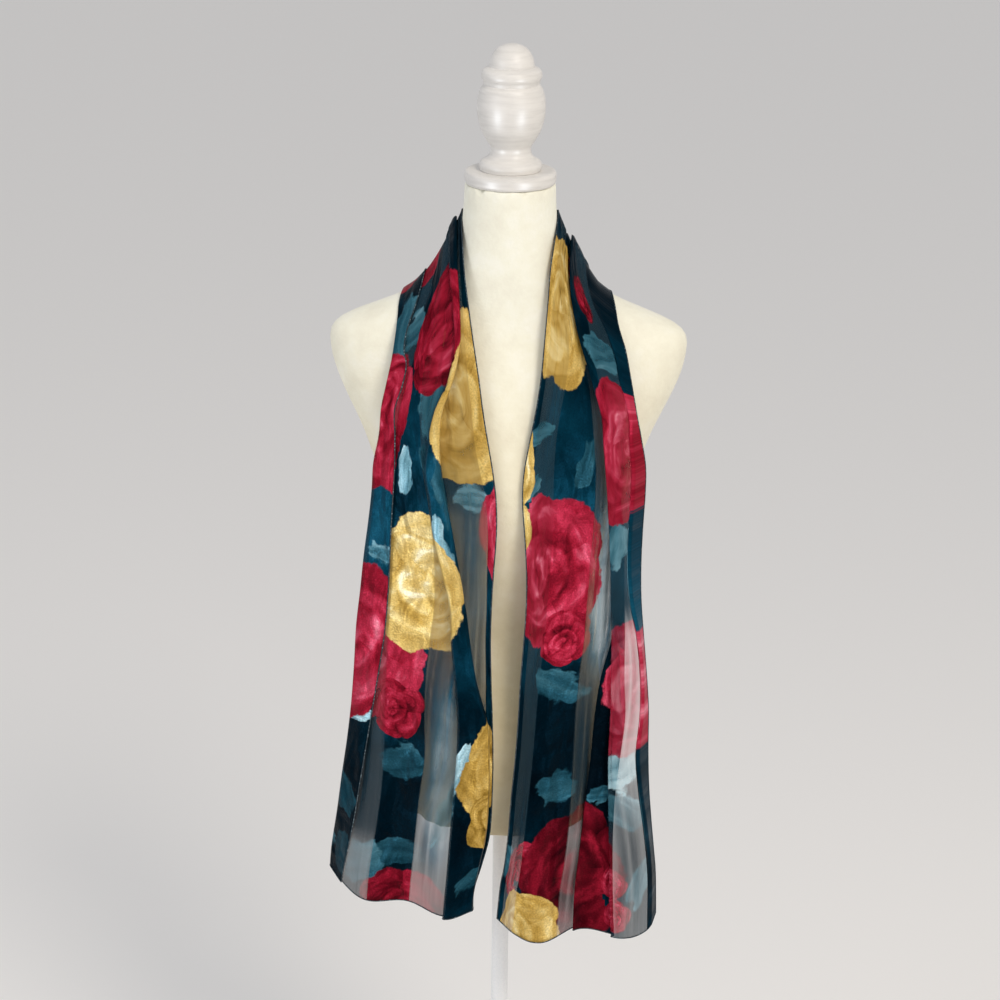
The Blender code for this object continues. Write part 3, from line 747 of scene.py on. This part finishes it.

# %% [markdown]
# ## Soft creases
#
# Chiffon never hangs quite smooth: it was folded, it catches on the jersey, and the stiffer satin
# stripes pull at it. Each soft crease is placed on the flat cloth: a ridge or a trough that
# fades to nothing at its ends. The ends of the scarf show many, and the hidden stretch behind the neck
# has like ones.

# %% Ridges and troughs
Gather = namedtuple("Gather", "across along length width depth lean")
GATHERS = [Gather(*row) for row in (
    # The left end.
    (12, 300, 70, 6, 1.6, 0.1), (24, 520, 90, 6, -1.4, -0.05), (20, 120, 80, 6, 1.5, 0.06),
    (56, 160, 110, 6, -1.3, 0.03), (70, 420, 90, 6, 1.4, -0.08), (95, 250, 120, 8, 1.9, 0.05),
    (118, 330, 130, 9, -1.9, 0.02), (104, 480, 90, 7, 1.8, -0.08), (122, 130, 100, 9, 2.1, -0.04),
    (98, 60, 60, 8, -1.9, 0.1), (138, 250, 90, 5, 2.4, 0.05), (150, 200, 110, 5, -2.3, 0.1),
    (161, 260, 80, 4, 2.2, 0.12), (168, 150, 70, 5, -1.9, 0.05), (146, 80, 60, 6, 1.8, 0),
    (150, 620, 90, 6, -1.5, 0.05), (138, 690, 70, 6, 1.5, 0), (186, 420, 110, 6, 1.6, 0.03),
    (200, 330, 120, 6, -1.6, 0), (190, 180, 100, 8, 2, -0.02), (206, 90, 80, 8, -1.9, 0.05),
    (194, 560, 80, 6, 1.4, 0), (236, 540, 90, 7, -1.4, -0.1), (252, 420, 110, 6, 1.6, 0.06),
    (262, 300, 120, 6, -1.6, 0.04), (281, 470, 90, 5, 1.2, 0), (279, 200, 120, 6, 1.6, 0.02),
    (248, 110, 90, 8, 1.9, 0), (268, 620, 70, 6, 1.2, 0.05), (40, 660, 80, 6, 1.2, -0.06),
    # Behind the neck.
    (36, 820, 70, 7, 1.4, 0.15), (88, 870, 60, 7, -1.4, -0.12), (140, 830, 80, 8, 1.4, 0.08),
    (190, 900, 70, 7, 1.3, -0.1), (240, 850, 80, 7, -1.2, 0.06), (60, 950, 60, 7, 1.5, -0.1),
    (118, 960, 70, 7, 1.3, 0.12), (216, 980, 60, 7, -1.3, 0.05), (270, 930, 70, 6, 1.1, 0),
    # The right end.
    (280, 1240, 80, 5, 1.2, 0), (262, 1330, 110, 7, -1.6, 0.03), (244, 1180, 90, 7, 1.5, -0.05),
    (222, 1300, 120, 9, 2, 0.08), (204, 1360, 110, 8, -1.9, 0.15), (190, 1240, 80, 6, 1.5, -0.05),
    (214, 1500, 130, 9, 1.9, -0.03), (196, 1620, 110, 8, -2, 0.04), (236, 1640, 110, 9, 1.9, 0.02),
    (260, 1720, 70, 9, -2, 0), (212, 1740, 60, 8, 2.2, -0.05), (240, 1450, 100, 8, -1.6, 0),
    (172, 1330, 110, 5, 2.3, 0.03), (163, 1380, 120, 4, -2.2, 0.03), (155, 1320, 100, 4, 2.2, 0.05),
    (148, 1400, 120, 4, -2, 0.04), (168, 1560, 120, 5, 2, 0), (157, 1640, 110, 5, -2, 0.02),
    (170, 1720, 70, 6, 1.8, 0), (112, 1660, 110, 7, 1.9, 0.03), (98, 1560, 120, 6, -1.7, 0),
    (120, 1740, 60, 7, -1.9, 0), (74, 1230, 90, 6, 1.4, 0.06), (58, 1300, 90, 6, -1.4, -0.05),
    (48, 1480, 120, 6, 1.8, 0.04), (66, 1560, 110, 6, -1.8, 0.02), (56, 1680, 110, 8, 2, -0.03),
    (74, 1740, 60, 7, -1.9, 0), (20, 1240, 80, 5, 1.5, 0.1), (12, 1340, 70, 5, -1.5, 0),
    (26, 1420, 90, 5, 1.5, -0.06), (16, 1560, 120, 6, 1.6, 0.03), (22, 1690, 90, 6, -1.6, 0),
    (262, 1110, 60, 7, 1.3, 0.08), (216, 1120, 60, 7, -1.3, -0.08), (90, 1110, 70, 7, 1.3, 0.1),
)]


# %% Push the cloth out
def gathered(across, along):
    """How far the soft creases push the cloth outwards, in mm, at each place on the flat cloth."""
    pushed = np.zeros_like(across)
    for gather in GATHERS:
        reach = np.clip((along - gather.along) / gather.length, -1, 1)
        aside = across - gather.across - gather.lean * (along - gather.along)
        pushed += gather.depth * np.exp(-(aside / gather.width) ** 2) * (1 + np.cos(math.pi * reach)) / 2
    return pushed


def outwards(surface):
    """The grid's unit normals, on the side that looks away from the form."""
    normal = np.cross(np.gradient(surface, axis=1), np.gradient(surface, axis=0))
    normal /= np.maximum(np.linalg.norm(normal, axis=2, keepdims=True), 0.0001)
    from_pole = surface * (1, 1, 0)
    facing = np.sign(np.sum(normal * from_pole, axis=2, keepdims=True))
    return normal * facing


def steepness(across, along):
    """How steep the soft creases are there, across the strip."""
    return np.abs(gathered(across + 1, along) - gathered(across - 1, along)) / 2


push = gathered(flat_across, flat_along)
drape += outwards(drape) * push[..., None]
print("deepest soft crease:", round(np.abs(push).max(), 1), "mm")
print("steepest slope:", round(steepness(flat_across, flat_along).max(), 2))

# %% [markdown]
# ## Cut and drape the strip
#
# A grid stands for the woven strip. Its UV map keeps each point's place on the flat cloth in metres, so
# the stripes and the print follow the weave through every fold, and then the points move to the drape.

# %% The strip's mesh
CLOTH_THICKNESS = 0.35
rows, columns = flat_across.shape
strip = bmesh.new()
bmesh.ops.create_grid(strip, x_segments=columns - 1, y_segments=rows - 1, size=0.5)
cloth_map = strip.loops.layers.uv.new("cloth")
for vert in strip.verts:
    column = round((vert.co.x + 0.5) * (columns - 1))
    row = round((vert.co.y + 0.5) * (rows - 1))
    for loop in vert.link_loops:
        loop[cloth_map].uv = (flat_across[row, column] * MM, flat_along[row, column] * MM)
    vert.co = Vector(drape[row, column]) * MM
bmesh.ops.recalc_face_normals(strip, faces=strip.faces)


# %% [markdown]
# ## The print
#
# Loose roses and leaves are painted over a dark teal ground. Each motif lies in flat cloth coordinates:
# mm in from the outer edge and mm up the strip from the left hem. A face of the mesh keeps, as face
# attributes, the two roses and the two leaves that reach it, so one small set of nodes paints every
# motif with a clean edge at any distance.

# %% Roses and leaves
Rose = namedtuple("Rose", "across along radius stretch turn gold light")
ROSES = [Rose(*row) for row in (
    (30, 560, 76, 1.24, 0.4, 0, 0.5), (46, 300, 86, 1.06, 1.1, 0, 0.6), (97, 230, 34, 1, 2.6, 0, 0.44),
    (126, 376, 78, 1, 0.2, 1, 0.7), (146, 643, 64, 1, 5.1, 0, 0.4), (252, 572, 84, 0.98, 3.3, 1, 0.6),
    (310, 442, 46, 1.4, 4, 0, 0.66), (242, 168, 62, 1.1, 2.2, 1, 0.44), (228, 112, 36, 1, 0.8, 1, 0.38),
    (124, -14, 58, 1, 0.9, 0, 0.38), (58, 800, 74, 1, 3, 0, 0.46), (214, 856, 66, 1, 1.6, 1, 0.56),
    (104, 918, 58, 1, 4.4, 0, 0.48), (172, 1056, 38, 1, 0.8, 0, 0.34),
    (243, 1088, 94, 0.84, 2.4, 1, 0.54), (84, 1056, 20, 1.2, 0, 0, 0.3),
    (42, 1222, 80, 1.04, 5.6, 0, 0.56), (244, 1350, 88, 1, 0.5, 0, 0.58),
    (204, 1428, 32, 1, 1.7, 0, 0.48), (34, 1488, 80, 1, 2, 0, 0.74), (236, 1700, 40, 1, 1.2, 0, 0.52),
    (146, 1706, 84, 1.06, 3.6, 0, 0.24), (226, 1770, 52, 1, 0.4, 1, 0.56),
    (80, 1716, 20, 1.1, 2.8, 0, 0.6), (74, 1752, 20, 1, 1.1, 0, 0.6), (332, 1238, 60, 0.9, 0.6, 1, 0.6),
    (332, 1298, 60, 0.9, 2.6, 1, 0.64),
)]
Leaf = namedtuple("Leaf", "across along length width turn pale")
# Most are leaves of the print. The narrow pale ones at 176, 218, 424 and 1352 mm along lie on satin and
# are painted highlights of its sheen.
LEAVES_AND_HIGHLIGHTS = [Leaf(*row) for row in (
    (6, 403, 28, 14, 0.1, 0.62), (18, 218, 24, 10, 0.1, 0.95), (10, 680, 50, 22, 1.5, 0.42),
    (62, 668, 34, 22, 0.2, 0.5), (102, 496, 26, 12, 1.3, 0.8), (150, 570, 50, 22, 1.5, 0.44),
    (186, 424, 36, 13, 1.5, 0.8), (200, 500, 54, 15, 1.5, 0.3), (258, 474, 27, 17, 0.2, 0.66),
    (106, 170, 28, 24, 0.3, 0.26), (110, 58, 40, 17, 0.1, 0.24), (58, 40, 46, 28, 0.5, 0.5),
    (184, 176, 34, 11, 1.3, 0.95), (206, 42, 26, 10, 0.9, 0.25), (162, 116, 44, 13, 1.2, 0.62),
    (4, 40, 32, 14, 1.4, 0.1), (150, 500, 32, 16, 2.2, 0.3), (20, 120, 36, 13, 1.2, 0.08),
    (140, 800, 38, 16, 0.7, 0.35), (20, 900, 42, 17, 1.3, 0.4), (250, 950, 36, 16, 2, 0.45),
    (160, 985, 36, 14, 0.5, 0.3), (266, 1204, 36, 11, 0.1, 0.42), (278, 1258, 26, 11, 0.4, 0.55),
    (62, 1110, 38, 25, 0.3, 0.46), (204, 1480, 40, 17, 2.9, 0.36), (198, 1600, 26, 22, 0.2, 0.3),
    (54, 1326, 26, 22, 1.3, 0.6), (20, 1352, 48, 14, 1.5, 0.75), (60, 1584, 30, 26, 0.5, 0.95),
    (54, 1630, 34, 22, 2.4, 0.6), (266, 1694, 44, 20, 2.6, 0.46), (106, 1614, 18, 12, 0, 0.36),
    (45, 1716, 30, 15, 1.3, 0.62), (12, 1640, 42, 11, 1.5, 0.42), (112, 1774, 26, 12, 0.2, 0.28),
    (190, 1236, 30, 12, 1.2, 0.3), (100, 1400, 36, 14, 1.2, 0.3),
)]
SLOTS, WANDER = 2, 8


# %% Give the faces their motifs
def store(mesh, name, kind, domain, values):
    """Writes an attribute, one float or one vector for each face or point."""
    field = "vector" if kind == "FLOAT_VECTOR" else "value"
    made = mesh.attributes.new(name, kind, domain)
    made.data.foreach_set(field, np.asarray(values, np.float32).ravel())


def printed_on(mesh, centres, kind, motifs, sizes):
    """Gives each face the last two motifs of one kind that reach it. Sizes are (turn, half x, half y)."""
    chosen = np.zeros((len(centres), SLOTS), int) - 1
    crowded = 0
    for number, (motif, (turn, half_x, half_y)) in enumerate(zip(motifs, sizes)):
        x, y = centres[:, 0] - motif.across, centres[:, 1] - motif.along
        x, y = x * math.cos(turn) + y * math.sin(turn), y * math.cos(turn) - x * math.sin(turn)
        near = np.hypot(x / (half_x + WANDER), y / (half_y + WANDER)) < 1
        crowded += int((chosen[near, 0] >= 0).sum())
        chosen[near] = np.column_stack([chosen[near, 1:], np.full(near.sum(), number)])
    # The last row is for a face that no motif reaches: its motif lies far off the cloth.
    nowhere = (-9999, -9999, 1, 1, 0, 0, 0)
    facts = np.array([*(tuple(motif) + (0,) * (7 - len(motif)) for motif in motifs), nowhere], float)
    for slot in range(SLOTS):
        found = facts[chosen[:, slot]]
        store(mesh, f"{kind}_{slot + 1}_place", "FLOAT_VECTOR", "FACE", found[:, 0:3])
        store(mesh, f"{kind}_{slot + 1}_look", "FLOAT_VECTOR", "FACE", found[:, 3:6])
        store(mesh, f"{kind}_{slot + 1}_light", "FLOAT", "FACE", found[:, 6])
    print(kind, "motifs:", len(motifs), " faces where one more is dropped:", crowded)


# %% [markdown]
# A painter's rose is rings of round petals, each ring laid over the one outside it, a little turned and
# a little off its middle. In polar terms a petal's rim is one lobe of a scalloped circle. The tone
# falls from the rim down to where the next ring rises, and along each ring a petal slips under the
# next. Soft folds of noise run round the heart, and a ramp turns the tone to paint.


# %% Paint a rose
Ring = namedtuple("Ring", "reach petals turn aside rim edge")
ROSE_RINGS = [
    Ring(1.00, 5, 0.00, 0.00, 0.05, 0.022), Ring(0.76, 4, 0.40, 0.07, 0.26, 0.05),
    Ring(0.52, 3, 0.75, -0.10, 0.36, 0.06), Ring(0.28, 2, 0.20, -0.16, 0.42, 0.08),
]
CLEFT_DEPTH, CLEFT_POWER, PETAL_DEPTH, PETAL_FRAY = 0.12, 2.6, 0.34, 0.16
RIM_TONE, SLIP_TONE, CLEFT_TONE, FOLD_TONE = 0.6, 0.07, 0.10, 1.1
TONES = (0.0, 0.25, 0.5, 0.72, 0.88, 1.0)
CRIMSON = ("#250208", "#560916", "#8a1529", "#ab2a42", "#c9526a", "#e28b9b")
OLD_GOLD = ("#553f17", "#8b6c2a", "#b69348", "#ceb068", "#dfca8e", "#f0e5bf")


def motif(tree, name):
    """What the mesh keeps of a motif: three values for its place, three for its look, its lightness."""
    values = []
    for part in ("_place", "_look"):
        vector = add(tree, "Attribute", attribute_name=name + part, output="Vector")
        values += add(tree, "SeparateXYZ", {"Vector": vector}).parts()
    return *values, add(tree, "Attribute", attribute_name=name + "_light", output="Fac")


def paint_rose(tree, place_mm, fray, slot, below):
    """The colour below, with the slot's rose painted over it."""
    across, along, radius, stretch, turn, gold, light = motif(tree, f"rose_{slot}")
    x, y, _ = add(tree, "SeparateXYZ", {"Vector": place_mm}).parts()
    x, y = (x - across) / radius, (y - along) / radius / stretch
    reach = (x * x + y * y) ** 0.5
    cosine, sine = turn.math("COSINE"), turn.math("SINE")
    # Folds run round the heart, and lie closer together near it.
    round_heart = add(tree, "CombineXYZ", {
        "X": x / (reach + 0.35) * 1.5, "Y": y / (reach + 0.35) * 1.5, "Z": reach * 3.4 + radius})
    folds = add(tree, "TexNoise", {
        "Vector": round_heart, "Scale": 1.0, "Detail": 3, "Roughness": 0.55, "Distortion": 0.9}) - 0.5
    tone, outline = light, None
    for ring in ROSE_RINGS:
        ring_x = x + cosine * ring.aside
        ring_y = y + sine * ring.aside
        turns = (ring_y.math("ARCTAN2", ring_x) + turn) * (0.5 / math.pi)
        lobe = (turns * ring.petals + ring.turn).math("FRACT") * 2 - 1
        side = lobe.math("ABSOLUTE")
        ring_reach = (ring_x * ring_x + ring_y * ring_y) ** 0.5
        inside = side ** CLEFT_POWER * (-CLEFT_DEPTH * ring.reach) + ring.reach - ring_reach
        cover = ((inside + fray * (PETAL_FRAY * ring.reach)) / ring.edge).math("ADD", 0.5, clamp=True)
        outline = outline or cover
        sunk = (inside / PETAL_DEPTH).clamped()
        petal = light + ring.rim * RIM_TONE - sunk * ring.rim
        petal = petal + lobe * SLIP_TONE - side ** 6 * CLEFT_TONE + folds * FOLD_TONE
        tone = tone + (petal - tone) * cover
    red, yellow = (
        add(tree, "ValToRGB", {"Fac": tone}, stops=zip(TONES, paints)) for paints in (CRIMSON, OLD_GOLD))
    paint = add(tree, "Mix", {0: gold, 6: red, 7: yellow}, data_type="RGBA", output=2)
    return add(tree, "Mix", {0: outline, 6: below, 7: paint}, data_type="RGBA", output=2)


# %% [markdown]
# A leaf is one loaded stroke of slate paint with a ragged rim, paler along one side. The paint is a
# thin wash, so the ground shows through it where the brush ran dry.


# %% Paint a leaf
LEAF_RAG, LEAF_FRAY, LEAF_EDGE = 2.2, 0.8, 0.16
SLATE = ((0.0, "#0a2c38"), (0.3, "#1f4a59"), (0.55, "#3c6b7a"), (0.8, "#77a2b0"), (1.0, "#b8dae4"))


def paint_leaf(tree, place_mm, fray, slot, below):
    """The colour below, with the slot's leaf painted over it."""
    across, along, length, width, turn, pale, _ = motif(tree, f"leaf_{slot}")
    x, y, _ = add(tree, "SeparateXYZ", {"Vector": place_mm}).parts()
    x, y = x - across, y - along
    cosine, sine = turn.math("COSINE"), turn.math("SINE")
    far = (x * cosine + y * sine) / length
    side = (y * cosine - x * sine) / width
    # The rim is torn by one noise, and another draws the bristles' streaks along the stroke.
    rag_place = add(tree, "CombineXYZ", {"X": far * 1.1, "Y": side * 1.1, "Z": length + across})
    rag = add(tree, "TexNoise", {"Vector": rag_place, "Scale": 1.0}) - 0.55
    inside = far.math("ABSOLUTE") ** 2.4 * -1.0 - side.math("ABSOLUTE") ** 1.8 + 1.0
    inside = inside + rag * LEAF_RAG + fray * LEAF_FRAY
    along_stroke = add(tree, "CombineXYZ", {"X": far * 0.7, "Y": side * 1.8, "Z": length})
    strokes = add(
        tree, "TexNoise", {"Vector": along_stroke, "Scale": 1.0, "Detail": 3, "Distortion": 0.4}) - 0.5
    tone = pale + strokes * 0.75 + side * 0.10 - inside * 0.08
    paint = add(tree, "ValToRGB", {"Fac": tone}, stops=SLATE)
    wash = (strokes * 1.6 + far * 0.25).math("ADD", 0.85, clamp=True)
    cover = (inside / LEAF_EDGE).math("MULTIPLY", wash, clamp=True)
    return add(tree, "Mix", {0: cover, 6: below, 7: paint}, data_type="RGBA", output=2)


# %% [markdown]
# ## The woven stripes
#
# Satin stripes are dense: the print is strong, and long floating threads catch the light in a crinkled
# sheen. Chiffon stripes are an open weave that light goes straight through. Where the strip is
# gathered, at the shoulders and over its turned edges, the chiffon lies doubled on itself and hides
# nearly all. Tables give the share that it hides, for each chiffon stripe (by the mm in to its middle)
# along the strip, and how pale the ground was dyed; patches add dye changes and painted light and
# shade. A soft crease adds to that share by its slope, so its steep sides show as darker lines: partly
# the denser look of sheer cloth seen slantwise, partly painted shade in the crease.

# %% Cover and dye along the strip
STRIPE_EDGES = (35, 83, 131, 179, 227, 275)
# The cover that a soft crease's slope adds, darkening its steep sides: partly the denser look of sheer
# cloth seen slantwise, partly painted shade.
CREASE_SHADE_COVER = 1
CHIFFON_COVER = {
    59: [(0, 0.5), (60, 0.52), (85, 0.8), (225, 0.84), (340, 0.8), (480, 0.74), (760, 0.8), (1390, 0.8),
        (1420, 0.24), (1440, 0.16), (1560, 0.18), (1580, 0.34), (1620, 0.4), (1780, 0.5)],
    155: [(0, 0.48), (80, 0.42), (130, 0.29), (270, 0.3), (310, 0.46), (420, 0.52), (460, 0.66),
        (500, 0.76), (1150, 0.78), (1175, 0.48), (1300, 0.42), (1420, 0.44), (1490, 0.58), (1620, 0.6),
        (1660, 0.5), (1780, 0.5)],
    251: [(0, 0.5), (90, 0.5), (225, 0.36), (450, 0.36), (470, 0.56), (500, 0.62), (640, 0.68),
        (720, 0.78), (1640, 0.8), (1670, 0.62), (1780, 0.56)],
}
DYE_DEPTH = [
    (0, 0.34), (60, 0.36), (180, 0.3), (300, 0.42), (440, 0.58), (520, 0.52), (600, 0.36), (700, 0.28),
    (1000, 0.28), (1100, 0.32), (1180, 0.44), (1280, 0.56), (1340, 0.48), (1440, 0.42), (1490, 0.32),
    (1560, 0.2), (1640, 0.22), (1780, 0.34),
]
PALEST_DYE, PATCH_INSIDE, PATCH_OUTSIDE = 1.5, 0.5, 1.4
DyeAndLightPatch = namedtuple("DyeAndLightPatch", "across along half_across half_along depth")
# Some patches change the dye. The others are painted light and shade. The dark ones at 1540 and 1550 mm
# along are painted shade under the right end's outer pleat. The light ones at 420, 1210 and 1400 mm along
# are painted sheen on satin. The pale washes at 165, 360 and 1370 mm along are painted light on the
# chiffon.
DYE_AND_LIGHT_PATCHES = [DyeAndLightPatch(*row) for row in (
    (107, 1540, 34, 120, -0.3), (205, 1550, 40, 90, -0.14), (206, 1210, 40, 50, 0.04),
    (14, 1400, 22, 70, 0.35), (107, 110, 30, 90, -0.16), (59, 150, 24, 80, -0.14),
    (204, 90, 30, 90, -0.14), (204, 480, 30, 60, 0.12), (155, 165, 19, 110, 1),
    (158, 1370, 18, 95, 1.05), (252, 360, 18, 110, 0.25), (14, 1640, 24, 110, 0.22),
    (18, 420, 24, 50, 0.18), (14, 90, 22, 100, -0.16), (107, 880, 60, 90, -0.1),
)]


# %% Read the tables
def along_table(table, along):
    """A table's value at each place along the strip."""
    return np.interp(along, *np.array(table, float).T)


def dye_and_light_depth(across, along):
    """How pale the ground is at a place, from its dye with painted light and shade: 0 is navy, 1 bright
    teal, PALEST_DYE a pale wash.
    """
    depth = along_table(DYE_DEPTH, along)
    for patch in DYE_AND_LIGHT_PATCHES:
        sideways = (across - patch.across) / patch.half_across
        away = np.hypot(sideways, (along - patch.along) / patch.half_along)
        depth += patch.depth * (1 - smoothstep(PATCH_INSIDE, PATCH_OUTSIDE, away))
    return depth


# %% Satin-stripe chiffon: its stripes
# A polyester warp and weft, woven open in the chiffon stripes and dense in the satin ones.
SOFT_EDGE, NOISE_STRETCH, CLOUD_DYE, STREAK_COVER = 0.5, 2.6, 0.9, 0.15
# The first is how far the satin's grains lighten and darken its colour, as painted glints; the second is
# their relief.
GLINT_TONE, GRAIN_RELIEF = 1.1, 0.09
cloth, tree, shader = new_material("Printed satin-stripe chiffon")
uv = add(tree, "UVMap", uv_map="cloth")
cloth_mm = add(tree, "VectorMath", {0: uv, 3: 1000.0}, operation="SCALE")
flat_x = add(tree, "SeparateXYZ", {"Vector": cloth_mm}).parts()[0]
stops = [(0.0, 1.0)]
for number, edge in enumerate(STRIPE_EDGES):
    before = 1.0 if number % 2 == 0 else 0.0
    stops += [((edge - SOFT_EDGE) / CLOTH_WIDTH, before), ((edge + SOFT_EDGE) / CLOTH_WIDTH, 1 - before)]
satin = add(tree, "ValToRGB", {"Fac": flat_x / CLOTH_WIDTH}, stops=stops)

# %% Its ground and print
# The dye wandered as it was painted, so the place that a motif looks up is moved by smooth noise. Noise
# keeps near its middle, so it is stretched before it reaches WANDER mm.
drift = add(tree, "TexNoise", {"Vector": cloth_mm, "Scale": 0.022, "Detail": 1.5}, output="Color")
drift = add(tree, "VectorMath", {0: drift, 1: (0.5, 0.5, 0.5)}, operation="SUBTRACT")
drift = add(tree, "VectorMath", {0: drift, 3: NOISE_STRETCH * WANDER}, operation="SCALE")
place_mm = add(tree, "VectorMath", {0: cloth_mm, 1: drift}, operation="ADD")
# Painted edges fray where the dye crept along the threads, by a few mm.
fray = add(tree, "TexNoise", {"Vector": cloth_mm, "Scale": 0.07, "Detail": 3, "Roughness": 0.6}) - 0.5

# The ground's dye settled unevenly, in clouds about 60 mm across. On sheer stripes the ground has a
# grey veil, from the light that its fine threads scatter.
clouds = add(tree, "TexNoise", {
    "Vector": cloth_mm, "Scale": 0.016, "Detail": 4, "Roughness": 0.55, "Distortion": 0.6})
# The stored depth is the ground's dye, with the painted light and shade of some patches.
depth = add(tree, "Attribute", attribute_name="dye_and_light", output="Fac") + (clouds - 0.5) * CLOUD_DYE
ground = add(tree, "ValToRGB", {"Fac": depth / PALEST_DYE}, stops=(
    (0.0, "#010a12"), (0.19, "#011520"), (0.33, "#042a3a"), (0.5, "#0c4156"), (0.67, "#1d5b72"),
    (1.0, "#a9bbc2")))
veiled = satin * -0.26 + 0.26
colour = add(tree, "Mix", {0: veiled, 6: ground, 7: "#3a5664"}, data_type="RGBA", output=2)
for paint_motif in (paint_leaf, paint_rose):
    for slot in range(1, SLOTS + 1):
        colour = paint_motif(tree, place_mm, fray, slot, colour)

# %% Its threads and its sheen
# Chiffon's own threads are 0.1 mm apart, too fine to draw: these streaks, 4 mm apart, are where they
# draw together.
drawn_place = add(tree, "Mapping", {"Vector": cloth_mm, "Scale": (0.28, 0.010, 1)})
drawn = add(tree, "TexNoise", {
    "Vector": drawn_place, "Scale": 1.0, "Detail": 3, "Roughness": 0.55}) - 0.5
sheer_cover = add(tree, "Attribute", attribute_name="cover", output="Fac")
sheer_cover = (sheer_cover + drawn * STREAK_COVER).clamped()

# Satin crinkles where its floating threads slip: grains 2 mm across, over soft waves 18 to 33 mm apart.
# The grains also lighten and darken the satin's colour: painted glints of its sheen. Light passes
# through the clear dyed fibres before it comes back, so the sheen has the dye's own colour. A small
# metallic share gives that, and keeps the dark ground free of a white haze.
grains_and_glints = add(tree, "TexNoise", {"Vector": cloth_mm, "Scale": 0.5, "Roughness": 0.6})
swell_place = add(tree, "Mapping", {"Vector": cloth_mm, "Scale": (0.055, 0.03, 1)})
swell = add(tree, "TexNoise", {
    "Vector": swell_place, "Scale": 1.0, "Detail": 1.0, "Roughness": 0.4, "Distortion": 0.5})
# Painted glints: the grains lighten and darken the satin's colour.
value = (grains_and_glints - 0.5) * satin * GLINT_TONE + 1.0
glinted = add(tree, "HueSaturation", {"Color": colour, "Value": value})
glint = add(tree, "Gamma", {"Color": colour, "Gamma": 0.66})
relief = grains_and_glints * GRAIN_RELIEF + swell
bump = add(tree, "Bump", {"Height": relief, "Distance": 0.009, "Strength": 0.7})
connect(shader, {
    "Base Color": glinted, "Alpha": satin + (satin * -1.0 + 1.0) * sheer_cover,
    "Roughness": satin * -0.44 + 0.72, "Metallic": satin * 0.06,
    "Specular IOR Level": satin * -0.16 + 0.2, "Specular Tint": glint, "Normal": bump})

# %% [markdown]
# ## The rolled hem
#
# The edges are overlocked: a narrow roll of dark thread round all four sides. It is a round cord that
# follows the strip's edge, turned to a mesh.

# %% Overlock thread
# Spun polyester thread, wrapped over the edge: dark and matte. Lighter dots 2.5 mm apart are partly its
# lighter stitches, partly painted highlight where the thread glistens.
overlock, tree, shader = new_material("Overlocked polyester thread")
place = add(tree, "TexCoord", output="Object")
stitch_dots_and_glints = add(tree, "TexVoronoi", {"Vector": place, "Scale": 400.0}, output="Distance")
connect(shader, {
    "Base Color": add(tree, "ValToRGB", {"Fac": stitch_dots_and_glints}, stops=((0.22, "#64757c"), (0.42, "#1b2a32"))),
    "Roughness": 0.8, "Specular IOR Level": 0.3})

# %% The scarf
scarf = finish(
    strip, "scarf", cloth, "chiffon", "scarf_left_front", "scarf_neck_back", "scarf_right_front")
flat_points = np.array([corner.vector[:] for corner in scarf.data.uv_layers["cloth"].uv]) / MM
face_centres = flat_points.reshape(-1, 4, 2).mean(axis=1)
leaf_sizes = [(leaf.turn, leaf.length, leaf.width) for leaf in LEAVES_AND_HIGHLIGHTS]
rose_sizes = [(0, rose.radius, rose.radius * rose.stretch) for rose in ROSES]
printed_on(scarf.data, face_centres, "leaf", LEAVES_AND_HIGHLIGHTS, leaf_sizes)
printed_on(scarf.data, face_centres, "rose", ROSES, rose_sizes)

# Each point takes its place on the flat cloth from its corners, and its cover from the nearest stripe.
flat_place = np.zeros((len(scarf.data.vertices), 2))
flat_place[[corner.vertex_index for corner in scarf.data.loops]] = flat_points
stripe = np.argmin(np.abs(flat_place[:, :1] - list(CHIFFON_COVER)), axis=1)
cover = np.choose(stripe, [along_table(table, flat_place[:, 1]) for table in CHIFFON_COVER.values()])
# Steep sides of soft creases add cover: darker lines, partly painted shade.
store(scarf.data, "cover", "FLOAT", "POINT", cover + CREASE_SHADE_COVER * steepness(*flat_place.T))
# The ground's dye, with the patches' painted light and shade.
store(scarf.data, "dye_and_light", "FLOAT", "POINT", dye_and_light_depth(*flat_place.T))
wall = scarf.modifiers.new("Cloth thickness", "SOLIDIFY")
wall.thickness = CLOTH_THICKNESS * MM
wall.offset = 0

# %% The hem
HEM_RADIUS = 0.65
# The cord runs along the left hem, the neck side, the right hem and the outer side in turn.
edge = np.vstack([drape[0], drape[1:, -1], drape[-1, -2::-1], drape[-2:0:-1, 0]])
thread = bpy.data.curves.new("hem", "CURVE")
thread.dimensions = "3D"
thread.bevel_depth = HEM_RADIUS * MM
thread.bevel_resolution = 1
spline = thread.splines.new("POLY")
spline.points.add(len(edge) - 1)
spline.points.foreach_set("co", np.column_stack([edge * MM, np.ones(len(edge))]).ravel())
spline.use_cyclic_u = True
guide = bpy.data.objects.new("hem_guide", thread)
roll = bmesh.new()
roll.from_mesh(guide.to_mesh())
guide.to_mesh_clear()
bpy.data.objects.remove(guide)
hem = finish(roll, "scarf_hem", overlock, "chiffon")
print("hem faces:", len(hem.data.polygons))
